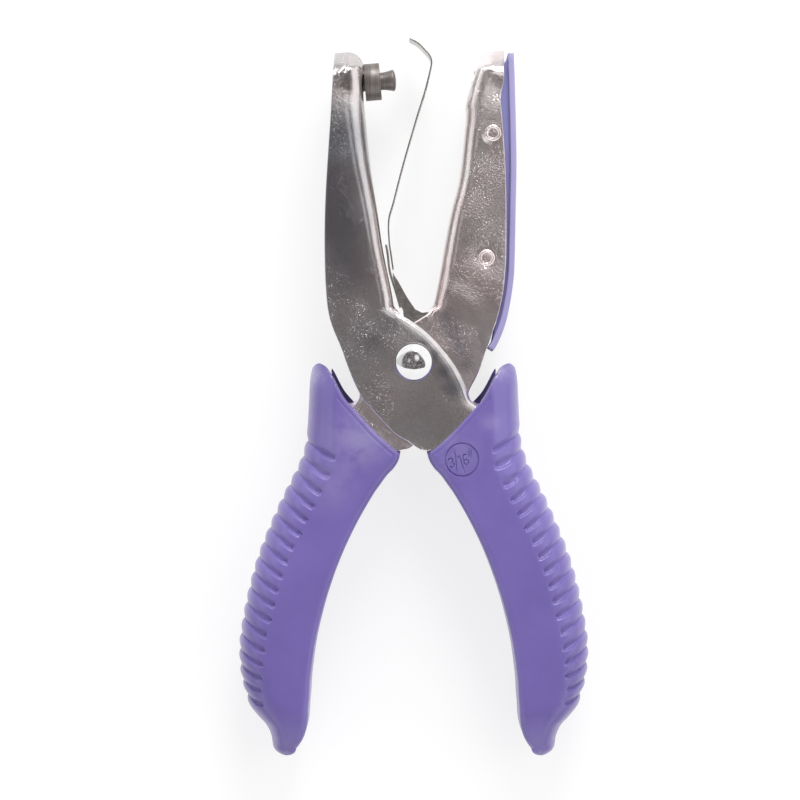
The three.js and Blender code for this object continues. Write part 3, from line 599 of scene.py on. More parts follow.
def plated_steel(name, light, warm, dim, grainy, speckle):
    """Bright plating over pressed sheet: fine grain all over, coarser where the sheet was drawn, and painted
    dark reflections that darken its colour at given places.
    """
    material, nodes = nodes_of(name)
    times, noise, between = nodes.times, nodes.noise, nodes.between
    colour = nodes.ramp(noise(55.0, 3.0), (0.38, light), (0.62, warm))
    # Painted dark reflections: the colour goes towards a dark bluish grey round each given place
    for *place, strength in dim:
        colour = nodes.layered(colour, PAINTED_DARK_REFLECTION, times(nodes.spot(*place), strength))
    patch = times(between(noise(110.0, 3.0, 0.6), 0.5, 0.7), speckle)
    for place in grainy:
        patch = nodes.calc("MAXIMUM", patch, nodes.spot(*place))
    coarse = times(noise(2700.0), times(patch, 4.5))
    fine = times(noise(4200.0), 1.1)
    wave = times(noise(50.0, 1.0), 38.0)
    sparkling = nodes.plus(times(between(noise(90.0), 0.42, 0.6), 1.8), times(patch, 2.4))
    spark = times(between(noise(4800.0, 1.0), 0.63, 0.79), sparkling)
    height = nodes.plus(nodes.plus(fine, coarse), nodes.plus(wave, spark))
    blur = nodes.ramp(noise(900.0, 3.0), (0.3, 0.08), (0.7, 0.14))
    nodes.shade({"Metallic": 1.0, "Base Color": colour, "Roughness": blur}, height, 0.00003)
    return material


def plain_steel(name, clouds, light, dark, roughness, grain, distance):
    """Steel with faint clouds of colour and an even fine grain."""
    material, nodes = nodes_of(name)
    colour = nodes.ramp(nodes.noise(*clouds), light, dark)
    nodes.shade({"Metallic": 1.0, "Base Color": colour, "Roughness": roughness}, nodes.noise(grain), distance)
    return material


def black_steel():
    """Black oxide over turned steel, with the lathe's fine lines round the axis."""
    material, nodes = nodes_of("black steel")
    inputs = {"Vector": nodes.place(), "Rotation": (0, 0, -PUNCH_TILT), "Scale": (1.0, 0.012, 0.012)}
    lines = nodes.noise(5200.0, 3.0, 0.7, nodes.node("Mapping", inputs).outputs["Vector"])
    colour = nodes.ramp(lines, (0.35, (0.15, 0.135, 0.128)), (0.7, (0.3, 0.265, 0.25)))
    nodes.shade({"Metallic": 0.55, "Base Color": colour, "Roughness": 0.42}, lines, 0.00003)
    return material


def grip_plastic(painted_highlights):
    """Satin moulded plastic with a faint orange peel, slight clouding and pale painted highlights at given
    places.
    """
    material, nodes = nodes_of("grip plastic")
    cloud = nodes.noise(45.0, 4.0, 0.6)
    colour = nodes.ramp(cloud, (0.3, (0.165, 0.12, 0.41)), (0.7, (0.21, 0.155, 0.5)))
    patchy = nodes.between(nodes.noise(260.0, 4.0, 0.6), 0.25, 0.6)
    # Painted highlights: pale patches, broken up by noise, round each given place
    for *place, strength in painted_highlights:
        colour = nodes.layered(
            colour, PAINTED_HIGHLIGHT_PLASTIC, nodes.times(nodes.spot(*place), nodes.times(patchy, strength))
        )
    inputs = {
        "Base Color": colour, "Roughness": nodes.ramp(nodes.noise(700.0, 3.0), (0.3, 0.3), (0.7, 0.42)),
        "Sheen Weight": 0.45, "Sheen Roughness": 0.45, "Sheen Tint": (0.88, 0.84, 1.0),
        "Coat Weight": 0.5, "Coat Roughness": 0.24,
    }
    nodes.shade(inputs, nodes.noise(1500.0, 3.0), 0.00002)
    return material


def tray_plastic():
    """Translucent plastic: pale in the free strip, and painted shade, darker and bluer, on the flange that
    lies deeper towards the middle of the tool's width.
    """
    material, nodes = nodes_of("tray plastic")
    cloud = nodes.noise(60.0, 3.0)
    pale = nodes.ramp(cloud, (0.3, (0.4, 0.36, 0.65)), (0.7, (0.46, 0.42, 0.71)))
    # Painted shade: the darker, bluer tone of the deeper flange
    deep = nodes.ramp(cloud, (0.3, (0.27, 0.27, 0.56)), (0.7, (0.33, 0.32, 0.63)))
    off_middle = nodes.calc("ABSOLUTE", nodes.calc("SUBTRACT", nodes.axes()["Z"], PIVOT.z))
    colour = nodes.layered(deep, pale, nodes.between(off_middle, 0.0061, 0.0067))
    nodes.shade({"Base Color": colour, "Roughness": 0.36}, nodes.noise(1800.0), 0.000012)
    return material


# Places on the steel and the grips: across, along, radius and softness, and how strong each is. The steel's
# first lists are painted dark reflections and its second lists set where its bump is coarser; the grips'
# places are painted highlights.
PUNCH_STEEL = plated_steel(
    "plated steel", (0.7, 0.69, 0.7), (0.71, 0.655, 0.65),
    [
        (-17.0, 50.0, 5.0, 4.0, 0.7), (-17.5, 41.0, 6.0, 5.0, 0.7), (-17.0, 31.0, 6.5, 5.0, 0.75),
        (-15.5, 21.0, 6.0, 5.0, 0.6), (-9.0, 5.0, 2.5, 3.0, 0.4), (-5.0, 8.0, 1.5, 2.5, 0.4),
        (2.2, 4.0, 0.8, 1.6, 0.5), (4.6, 1.2, 1.2, 1.7, 0.6), (6.8, -2.2, 1.7, 1.8, 0.7),
        (8.8, -5.8, 2.2, 1.8, 0.7),
    ],
    [(-16.4, 58.2, 2.2, 1.4), (-16.0, 47.0, 1.0, 3.0), (-4.8, 11.5, 0.5, 2.5), (-12.0, 12.0, 1.0, 3.0)],
    0.3,
)
# The die lever's copy of the same plating, painted lighter and pinker as its brighter reflections
DIE_STEEL_PAINTED_LIGHTER = plated_steel(
    "plated steel, die side", (0.92, 0.87, 0.87), (0.92, 0.81, 0.81),
    [
        (7.4, 10.0, 2.0, 2.5, 0.45), (8.8, 6.5, 2.0, 2.5, 0.5), (10.2, 3.0, 2.0, 2.5, 0.5),
        (11.6, -0.5, 1.6, 2.2, 0.5), (12.0, 27.0, 1.0, 3.0, 0.3),
    ],
    [(17.5, 56.0, 5.0, 3.0), (17.0, 43.0, 3.0, 5.0), (13.0, 35.0, 2.0, 4.0), (14.8, 20.0, 4.0, 5.0)],
    0.6,
)
BRIGHT = plain_steel(
    "polished rivet", [300.0], (0.4, (0.8, 0.8, 0.81)), (0.7, (0.74, 0.74, 0.75)), 0.04, 900.0, 0.000004
)
GROUND = plain_steel(
    "ground steel", [500.0], (0.4, (0.55, 0.54, 0.53)), (0.7, (0.42, 0.41, 0.4)), 0.3, 4000.0, 0.00001
)
BLACK = black_steel()
SPRING = plain_steel(
    "spring steel", [700.0, 3.0], (0.35, (0.6, 0.58, 0.56)), (0.65, (0.45, 0.43, 0.41)), 0.24, 3000.0, 0.00001
)
# Painted highlights at the grips' two tips, on a crest and on patches of the flats
GRIP = grip_plastic([
    (-22.1, -3.4, 1.0, 2.4, 0.75), (20.0, -2.2, 1.0, 2.4, 0.75), (-12.5, -17.5, 4.0, 7.0, 0.5),
    (-18.0, -28.0, 3.0, 6.0, 0.25), (17.0, -13.5, 1.0, 3.0, 0.35), (9.5, -20.0, 4.0, 5.0, 0.2),
])
TRAY_PLASTIC = tray_plastic()


# Levers: a pressed shell in front, its mirror image behind, and webs between them along the bends

def lever_lines(throat_shares, outer_shares, shoulder_share, top_share):
    throat = jaw_curve(throat_shares, 10)
    outer = jaw_curve(outer_shares, 6)
    shoulder, top = placed([shoulder_share, top_share])
    nose = arc_corner(throat[0], shoulder, top, NOSE_RADIUS, 16)
    share = (outer[0][0] - nose[-1][0]) / (top[0] - nose[-1][0])
    corner = nose[-1] + (top - nose[-1]) * share
    web = dense([*throat[::-1], *nose, corner], 0.6)
    palm = grip_curve(HANDLE_PALM, 6)
    inner = grip_curve(HANDLE_INNER, 4)
    crossing = dense(smooth([*placed(CROSSING), *placed(HEEL)], 6), 0.6)
    return web, outer, inner, palm, crossing


def nose_share(places, web):
    """How far a place along the web belongs to the nose, from 0 on the throat to 1 round the tip."""
    heights = np.interp(places, np.arange(len(web)), np.array(web)[:, 1])
    return ease(np.clip((heights - NOSE_FROM) / NOSE_BLEND, 0, 1))


def bend_radii(web, widest):
    """The bend's radius at each place of the web, growing towards the nose."""
    share = np.clip((np.array(web)[:, 1] - BEND_GROWS_FROM) / BEND_GROWS_OVER, 0, 1)
    return BEND_RADIUS + (widest - BEND_RADIUS) * ease(share)


def slope_fall(rise, softness):
    """A straight slope that starts softly from the flat."""
    return 0.5 * (rise + np.sqrt(rise * rise + softness**2))


def nose_fall(gap):
    rim = np.clip(NOSE_RIM - gap, 0, None)
    return slope_fall((NOSE_REACH - gap) * NOSE_SLOPE, NOSE_SOFTNESS) + NOSE_RIM_FALL * rim * rim


def web_fall(points, web, widest):
    """How far the bend and the sloping nose lie below the flat, and how steeply they fall there."""
    step = 0.05
    gap, at, _ = nearest(points, web)
    share = nose_share(at, web)
    radius = np.interp(at, np.arange(len(web)), bend_radii(web, widest))
    depth = (1 - share) * fall(gap, radius) + share * nose_fall(gap)
    further = (1 - share) * fall(gap + step, radius) + share * nose_fall(gap + step)
    slope = np.maximum(depth - further, 0) / step
    return depth, slope


def softened_fall(points, web, widest):
    """The fall, averaged over a small circle inside the rim so that its creases are soft."""
    depth, slope = web_fall(points, web, widest)
    near = nearest(points, web)[0]
    total = depth.copy()
    angles = [math.pi / 4 * k for k in range(8)]
    for angle in angles:
        total += web_fall(points + SOFT_REACH * np.array((math.cos(angle), math.sin(angle))), web, widest)[0]
    weight = np.clip((near - SOFT_REACH) / SOFT_BLEND, 0, 1) * (points[:, 1] > SOFT_FROM)
    return depth + (total / (len(angles) + 1) - depth) * ease(weight), slope


def crossing_fall(gap, width):
    drop = slope_fall((width - gap) * CROSSING_EDGE_SLOPE, CROSSING_EDGE_SOFTNESS)
    return drop * np.clip((CROSSING_REACH - gap) / CROSSING_BLEND, 0, 1)


# Lines for the triangles to follow: a grid over the noses, and rings beside the web and the crossing
NOSE_GRID_ALONG = (58.2, 66.8, 0.3)
NOSE_GRID_ACROSS = (-21.0, -10.5, 0.35)
NOSE_RINGS = [3.3, 3.6, 3.9, 4.2, 4.5]
CROSSING_RINGS = [0.12, 0.3, 0.5, 0.7, 0.9, 1.05, 1.2, 1.35, 1.5, 1.7, 1.95, 2.3]


def lever_shell(lines, half_of, widest, edge_width, extra, relief):
    """A lever pressed from one sheet, from the half width and the relief at each of its points."""
    web, outer, inner, palm, crossing = lines
    handle_web = palm[::-1]
    rear = [web[-1], *outer[1:], *inner[::-1], palm[-1]]
    front_edge = [palm[0], *crossing[::-1], web[0]]
    outline = [*web, *outer[1:], *inner[::-1], *handle_web, *crossing[::-1]]
    guides = list(extra)
    for line in (web, handle_web):
        guides += offset_lines(line, ring_distances(BEND_RADIUS, 10))
    guides += [[np.array((x, y)) for x in np.arange(*NOSE_GRID_ACROSS)] for y in np.arange(*NOSE_GRID_ALONG)]
    guides += offset_lines(web, NOSE_RINGS)
    guides += offset_lines(rear, ring_distances(EDGE_RADIUS, 3))
    guides += offset_lines(front_edge, CROSSING_RINGS)
    points, tris = triangulated(outline, guides)
    half = half_of(points)

    # How far a point is from each bend gives its fall and the way that its surface faces
    fall_web, slope = softened_fall(points, web, widest)
    gap, at, _ = nearest(points, web)
    handle_gap, handle_at, _ = nearest(points, handle_web)
    handle_lean = np.clip((BEND_RADIUS - handle_gap) / BEND_RADIUS, 0, 1)
    facing = np.zeros((len(points), 3))
    facing[:, 2] = 1
    lean = slope / np.sqrt(1 + slope**2)
    lean[gap < ON_LINE] = 1
    for line, where, leaning in ((web, at, lean), (handle_web, handle_at, handle_lean)):
        away = read_off(where, np.arange(len(line)), line_normals(line))
        away /= np.linalg.norm(away, axis=1)[:, None]
        near = leaning > 0.001
        facing[near] = np.column_stack((away * leaning[:, None], np.sqrt(1 - leaning**2)))[near]
    near = handle_gap < BEND_RADIUS
    fall_web[near] = fall(handle_gap, BEND_RADIUS)[near]
    on_web = (gap < ON_LINE) | (handle_gap < ON_LINE)
    drop_edge = fall(nearest(points, rear)[0], EDGE_RADIUS)
    drop_edge += crossing_fall(nearest(points, front_edge)[0], edge_width)
    drop_edge[on_web] = 0
    lift = relief(points) * np.clip(gap / RELIEF_BLEND, 0, 1)
    outer_z = half - fall_web - drop_edge + lift
    inner_xy = points - facing[:, :2] * SHEET
    inner_z = half - fall_web - facing[:, 2] * SHEET + lift
    inner_z = np.minimum(inner_z, outer_z - THINNEST * facing[:, 2])
    count = len(points)
    verts, faces = [], []
    for layer, (xy, z, way) in enumerate((
        (points, outer_z, 1), (points, -outer_z, -1), (inner_xy, inner_z, -1), (inner_xy, -inner_z, 1)
    )):
        verts += [(x, y, height) for (x, y), height in zip(xy, z)]
        faces += [tuple(i + layer * count for i in t[::way]) for t in tris]
    ends = {}
    for a, b in boundary_edges(tris):
        if on_web[a] and on_web[b]:
            faces.append((a, a + count, b + count, b))
            faces.append((a + 2 * count, b + 2 * count, b + 3 * count, a + 3 * count))
            for v in (a, b):
                ends[v] = ends.get(v, 0) + 1
        else:
            faces.append((a, a + 2 * count, b + 2 * count, b))
            faces.append((a + count, b + count, b + 3 * count, a + 3 * count))
    for v, times in ends.items():
        if times == 1:
            faces.append((v, v + count, v + 3 * count, v + 2 * count))
    return mesh_from(verts, faces)


def dents(points, places):
    """Shallow round dents: across, along, depth and radius of each."""
    lift = np.zeros(len(points))
    for across, along, depth, radius in places:
        reach = np.linalg.norm(points - np.array((across, along)), axis=1)
        lift -= depth * np.exp(-((reach / radius) ** 2))
    return lift


def dent_rings(places):
    return [
        circle((across, along), radius * 0.25 * k, 24 + 4 * k)
        for across, along, _, radius in places
        for k in range(1, 8)
    ]


PUNCH_DENTS = [(-14.6, 60.2, 0.5, 3.1), (-16.6, 46.0, 0.1, 3.0), (-17.0, 66.8, -0.12, 1.5)]
DIE_DENTS = [(-19.1, 60.6, 0.5, 3.1), (-15.2, 46.0, 0.1, 2.6), (-16.8, 66.9, -0.2, 1.4)]
PUNCH_NOSE_BEND = 4.4
PUNCH_EDGE_WIDTH = 0.85
DIE_NOSE_BEND = 3.5
DIE_EDGE_WIDTH = 0.35


def punch_lever():
    lines = lever_lines(PUNCH_THROAT, PUNCH_OUTER, PUNCH_SHOULDER, PUNCH_TOP)
    bm = lever_shell(
        lines, lambda p: np.full(len(p), OUTER_HALF), PUNCH_NOSE_BEND, PUNCH_EDGE_WIDTH,
        dent_rings(PUNCH_DENTS), lambda p: dents(p, PUNCH_DENTS),
    )
    finished("punch_lever_shell", bm, PUNCH_STEEL, "punch_side", "punch_lever")


def die_half(points):
    """The die lever's plates run nearer to the middle inside the joggle and down the handle."""
    reach = np.linalg.norm(points, axis=1)
    share = ease(np.clip((reach - JOGGLE_RADIUS) / JOGGLE_RUN, 0, 1)) * (points[:, 1] > 0)
    return INNER_HALF + (OUTER_HALF - INNER_HALF) * share


DIMPLE_PROFILE = [
    (0, -0.22), (0.45, -0.24), (0.6, -0.38), (0.95, -0.4), (1.2, -0.16), (1.4, 0.0), (1.55, 0.0),
    (1.8, -0.16), (2.1, -0.12), (2.7, 0.0),
]


def die_relief(points):
    lift = dents(points, DIE_DENTS)
    radii, heights = zip(*DIMPLE_PROFILE)
    for centre in placed(DIMPLES):
        reach = np.linalg.norm(points - centre, axis=1)
        lift += np.interp(reach, radii, heights, right=0.0)
    return lift


def die_lever():
    lines = lever_lines(DIE_THROAT, DIE_OUTER, DIE_SHOULDER, DIE_TOP)
    guides = dent_rings(DIE_DENTS)
    guides += [circle((0, 0), JOGGLE_RADIUS + JOGGLE_RUN * step / 8, 120) for step in range(9)]
    radii = [radius for radius, _ in DIMPLE_PROFILE[1:]]
    for centre in placed(DIMPLES):
        guides += [circle(centre, radius) for radius in radii]
        guides += [circle(centre, (a + b) / 2) for a, b in zip(radii, radii[1:])]
    bm = lever_shell(lines, die_half, DIE_NOSE_BEND, DIE_EDGE_WIDTH, guides, die_relief)
    height = JAW_LENGTH - DIE_INSET
    seat = [(0, -2), (DIE_HOLE, -2), (DIE_HOLE, 2.6), (0, 2.6)]
    across = web_across(DIE_THROAT, DIE_SHOULDER, height)
    bm = combined(bm, *turned_along(seat, 64, across, height, math.pi + DIE_TILT))
    finished("die_lever_shell", bm, DIE_STEEL_PAINTED_LIGHTER, "die_side", "die_lever", mirror=True)


# The small turned pieces

def web_across(throat_shares, shoulder_share, height):
    line = placed([shoulder_share, *throat_shares])
    for upper, lower in zip(line, line[1:]):
        if lower[1] < height <= upper[1]:
            return lower[0] + (upper[0] - lower[0]) * (height - lower[1]) / (upper[1] - lower[1])
    return line[0][0]


def punch_pieces():
    """The punch and its collar, as radius and height from the punch's tip."""
    height = JAW_LENGTH - PUNCH_INSET
    tip = web_across(PUNCH_THROAT, PUNCH_SHOULDER, height) + PUNCH_STICK
    pin = [
        (0, 0), (0.8, -0.03), (1.5, -0.12), (2.0, -0.28), (2.3, -0.42), (2.38, -0.52), (2.38, -0.75),
        (2.3, -1.0), (1.98, -2.6), (1.95, -3.2), (1.95, -8.4), (2.9, -8.4), (3.0, -8.5), (3.0, -9.0),
        (2.7, -9.4), (1.6, -9.6), (0, -9.65),
    ]
    back, front, rim = -PUNCH_STICK + 0.25, -PUNCH_STICK + 3.8, 0.12
    collar = [
        (2.05, back), (4.05, back), (4.15, back + rim), (4.15, front - rim), (4.05, front), (2.2, front),
        (2.05, front - rim), (2.05, back),
    ]
    for node, profile, steps in (("punch_pin", pin, 72), ("punch_collar", collar, 96)):
        bm = mesh_from(*turned_along(profile, steps, tip, height, PUNCH_TILT))
        finished(node + "_turned", bm, BLACK, "punch_side", node, sharp=40)


def pivot_rivet():
    """The rivet, with its clinched tail behind and its dome in front."""
    seat = OUTER_HALF + FIT_GAP
    shank, head, skirt, rise, dome_steps = 2.4, 4.3, 0.16, 1.86, 18
    profile = [
        (0, -9.0), (3.3, -9.0), (3.6, -8.85), (3.7, -8.6), (3.7, -seat), (shank, -seat), (shank, seat),
        (head - 0.15, seat), (head, seat + 0.08), (head, seat + skirt),
    ]
    radius = (rise**2 + head**2) / (2 * rise)
    lean = math.asin(head / radius)
    for step in range(1, dome_steps + 1):
        angle = lean * (1 - step / dome_steps)
        profile.append((radius * math.sin(angle), seat + skirt + rise - radius + radius * math.cos(angle)))
    bm = mesh_from(*turned(profile, 96))
    finished("pivot_rivet_turned", bm, BRIGHT, "die_side", "pivot_rivet")


SPRING_RADIUS = 4.7
SPRING_LEG_ANGLE = -45
SPRING_TURNS = 3
SPRING_SEAT_SHARE = 0.11
SPRING_ROOM = BRACKET_HALF - BRACKET_SHEET - 0.55
SPRING_GAP = 0.45
SPRING_ELBOW = (0.42, -0.058)
COIL_STEP = 9
WIRE_SIDES = 14


def spring_coil():
    """Torsion coil round the sleeve, with a leg against the inside of each handle."""
    sweep = SPRING_TURNS * 360 - 2 * SPRING_LEG_ANGLE
    wire = (2 * SPRING_ROOM + SPRING_GAP) / (sweep / 360 + 1) - SPRING_GAP
    half = SPRING_ROOM - wire / 2
    steps = round(sweep / COIL_STEP)
    coil = []
    for step in range(steps + 1):
        share = step / steps
        angle = math.radians(SPRING_LEG_ANGLE + 90 + sweep * share)
        x, y = SPRING_RADIUS * math.cos(angle), SPRING_RADIUS * math.sin(angle)
        coil.append(Vector((x, y, half - 2 * half * share)))

    palm = grip_curve(HANDLE_PALM, 24)
    arc = run_lengths(palm)
    seat = SPRING_SEAT_SHARE * arc[-1]
    at, ahead = read_off([seat, seat + 0.5], arc, palm)
    along = (ahead - at) / np.linalg.norm(ahead - at)
    outward = np.array((-along[1], along[0]))
    end = at - outward * (SHEET + FIT_GAP)
    (elbow,) = placed([SPRING_ELBOW])
    leg = [elbow, end - outward * wire * 1.4, end]
    leg = [*dense([elbow, leg[1]], 1.5)[:-1], *arc_corner(elbow, leg[1], end, wire * 0.8, 6), end]
    right = [Vector((x, y, half)) for x, y in leg]
    left = [Vector((-x, y, -half)) for x, y in leg]
    path = [*right[::-1], *coil, *left]
    verts, faces, sides = [], [], WIRE_SIDES
    normal = Vector((0, 0, 1))
    for i, point in enumerate(path):
        tangent = (path[min(i + 1, len(path) - 1)] - path[max(i - 1, 0)]).normalized()
        normal = (normal - tangent * normal.dot(tangent)).normalized()
        across = tangent.cross(normal)
        for k in range(sides):
            turn = 2 * math.pi * k / sides
            verts.append(point + (normal * math.cos(turn) + across * math.sin(turn)) * wire / 2)
    for i in range(1, len(path)):
        for k in range(sides):
            n = (k + 1) % sides
            a, b = (i - 1) * sides, i * sides
            faces.append((a + k, a + n, b + n, b + k))
    faces.append(tuple(range(sides)))
    faces.append(tuple(range((len(path) - 1) * sides, len(path) * sides)))
    bm = mesh_from(verts, faces)
    piece = finished("return_spring_coil", bm, SPRING, None, "return_spring")
    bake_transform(piece)


# Stripper

def stripper():
    ear = placed(EAR)
    eye = [
        np.array((BRACKET_EYE * math.cos(a), BRACKET_EYE * math.sin(a)))
        for a in (-math.pi * k / 28 for k in range(29))
    ]
    outline = dense([*smooth(ear, 3), *eye], 1.0)
    inner = BRACKET_HALF - BRACKET_SHEET
    parts = [
        slab(outline, inner, BRACKET_HALF, 0.12),
        slab(outline, -BRACKET_HALF, -inner, 0.12),
        slab(strip_outline(jaw_curve(BRIDGE, 5), BRACKET_SHEET), -BRACKET_HALF, BRACKET_HALF, 0.12),
    ]
    bm = mesh_from(*joined(parts))
    finished("stripper_bracket_sheet", bm, SPRING, "punch_side", "stripper_bracket")

    leaf = slab(strip_outline(jaw_curve(LEAF, 8), LEAF_SHEET), -LEAF_HALF, LEAF_HALF, 0.1)
    (centre,) = placed([LEAF_HOLE])
    hole = [(0, -2), (LEAF_HOLE_RADIUS, -2), (LEAF_HOLE_RADIUS, 2), (0, 2)]
    bm = combined(mesh_from(*leaf), *turned_along(hole, 48, *centre, PUNCH_TILT - LEAF_LEAN))
    finished("stripper_leaf_sheet", bm, SPRING, "stripper", "stripper_leaf")


# Chip tray

TRAY_WALL = 1.3
TRAY_SLACK = 0.35
NOTCH_HALF = 2.2
NOTCH_ROUND = 1.2


def notched(line, centre):
    """A line that climbs along a flange, with a notch from it round a dimple."""
    low, high = centre[1] - NOTCH_HALF, centre[1] + NOTCH_HALF
    deep = centre[0] - NOTCH_HALF
    p = np.array(line)
    start, end = (np.array((np.interp(y, p[:, 1], p[:, 0]), y)) for y in (low, high))
    lower, upper = np.array((deep, low)), np.array((deep, high))
    return [
        *[q for q in line if q[1] < low], start,
        *arc_corner(start, lower, upper, NOTCH_ROUND, 5), *arc_corner(lower, upper, end, NOTCH_ROUND, 5),
        end, *[q for q in line if q[1] > high],
    ]


def chip_tray():
    line = jaw_curve(TRAY, 8)
    top = OUTER_HALF - SHEET - TRAY_SLACK
    flange_line = placed(TRAY_FLANGE)
    reach = OUTER_HALF - FIT_GAP
    bm = mesh_from(*slab(strip_outline(line, TRAY_WALL), -reach, reach, 0.35, 4))
    inner_line = dense(flange_line, 1.0)
    for centre in sorted(placed(DIMPLES), key=lambda c: c[1]):
        inner_line = notched(inner_line, centre)
    side = [*line, *inner_line]
    for low, high in ((top - TRAY_WALL, top), (-top, -top + TRAY_WALL)):
        bm = combined(bm, *slab(side, low, high, 0.15), operation="UNION")
    for end in (flange_line[0], flange_line[-1]):
        far = np.interp(end[1], [p[1] for p in line[::-1]], [p[0] for p in line[::-1]])
        half = TRAY_WALL / 2
        corners = [(end[0], -half), (end[0], half), (far, half), (far, -half)]
        rib = slab([np.array((x, end[1] + y)) for x, y in corners], -top + 0.2, top - 0.2, 0.1)
        bm = combined(bm, *rib, operation="UNION")
    finished("chip_tray_moulded", bm, TRAY_PLASTIC, "tray", "chip_tray", mirror=True)


# Grips: a moulded sleeve lofted between its palm side and its inner side

def sampled(curve, places):
    return read_off(places, np.linspace(0, 1, len(curve)), curve)


GROOVE_NOTCH = 0.62
GROOVE_DEPTH = 0.85
GROOVE_LEAF = [(20, 8.2), (40, 7.9), (60, 7.5), (68, 7.0), (73, 6.0), (80, 4.0)]
GROOVE_LEAD = [(20, -1.1), (60, -1.0), (70, -0.3), (80, 0.8)]


def groove_depth(along, inward, first, pitch):
    """Depth of the grooves: notches at the silhouette that open inward into leaf shapes."""
    leaf_end = np.interp(along, *zip(*GROOVE_LEAF))
    share = np.clip(inward / leaf_end, 0, 1.2)
    lead = np.interp(along, *zip(*GROOVE_LEAD)) * share + 1.6 * share * np.clip(1 - share, 0, 1)
    place = (along - lead - first) / pitch
    u = place - np.clip(np.round(place), 0, GROOVE_COUNT - 1)
    notch = GROOVE_NOTCH * np.clip(1 - 2 * np.abs(u), 0, 1) ** 1.8 * np.clip(1 - share / 0.75, 0, 1)
    open_share = np.clip((share - 0.12) / 0.5, 0, 1)
    rounded = np.clip((1 - share) / 0.1, 0, 1)
    width = (0.08 + 0.25 * open_share) * np.sqrt(rounded * (2 - rounded)) + 1e-6
    upper = np.clip((u + width) / (1.25 * width), 0, 1)
    lip = np.clip((width - u) / (0.42 * width), 0, 1)
    leaf = ease(np.minimum(upper, lip))
    start = np.clip(share / 0.15, 0, 1) * (rounded > 0)
    return notch + GROOVE_DEPTH * leaf * (0.25 + 0.75 * open_share) * start


RIM_ROUND = 0.55
HORN_AT = 0.55
HORN_ROUND = 8.0
HORN_FALL = 1.3
RIM_RINGS = [0.7, 0.85, 0.95, 1.05, 1.15, 1.25, 1.4, 1.6]
BEAD_HEIGHT = 0.12
BEAD_FROM_RIM = 1.1
BEAD_WIDTH = 0.22
MARK_CENTRE = (10.65, -21.75)
MARK_RADIUS = 3.65
MARK_STROKE = 0.21
MARK_DEPTH = 0.3
MARK_TURN = math.radians(17)
MARK_STROKES = [
    [(-3.0, 0.75), (-2.6, 1.05), (-2.1, 0.95), (-1.95, 0.5), (-2.4, 0.1), (-1.95, -0.3), (-2.05, -0.85),
     (-2.55, -1.05), (-3.0, -0.75)],
    [(-1.8, -1.9), (-1.1, 1.6)],
    [(-0.75, 0.6), (-0.3, 1.0), (-0.3, -1.4)],
    [(1.2, 0.75), (0.8, 1.0), (0.4, 0.6), (0.2, -0.25), (0.3, -1.05), (0.7, -1.4), (1.15, -1.2), (1.3, -0.7),
     (0.95, -0.25), (0.4, -0.35)],
    [(1.85, 1.2), (1.75, 0.4)],
    [(2.35, 1.15), (2.25, 0.35)],
]


def mark_strokes():
    c, s = math.cos(MARK_TURN), math.sin(MARK_TURN)
    strokes = []
    for stroke in MARK_STROKES:
        points = dense([np.array(p) for p in stroke], 0.3)
        strokes.append([np.array(MARK_CENTRE) + np.array((x * c - y * s, x * s + y * c)) for x, y in points])
    return [circle(MARK_CENTRE, MARK_RADIUS, 72), *strokes]


def mark_depth(points):
    depth = np.zeros(len(points))
    for stroke in mark_strokes():
        share = nearest(points, stroke)[0] / MARK_STROKE
        depth = np.maximum(depth, MARK_DEPTH * np.clip(1 - share**2, 0, 1))
    return depth


# Where the grooves' close sections start and end, and where the tail's last section stands before its end
GROOVED_FROM = 18
GROOVED_TO = 84
PLAIN_GAP, GROOVED_GAP, TAIL_GAP = 0.3, 0.18, 0.4
CORNER_SHARE = 0.17
TAIL_REACH = 1.6
TAIL_DROP = 2.1
TAIL_STEPS = (0.2, 0.4, 0.6, 0.75, 0.87, 0.95, 0.99)
ROUND_STEPS, CORNER_STEPS, SIDE_STEPS = 56, 7, 8


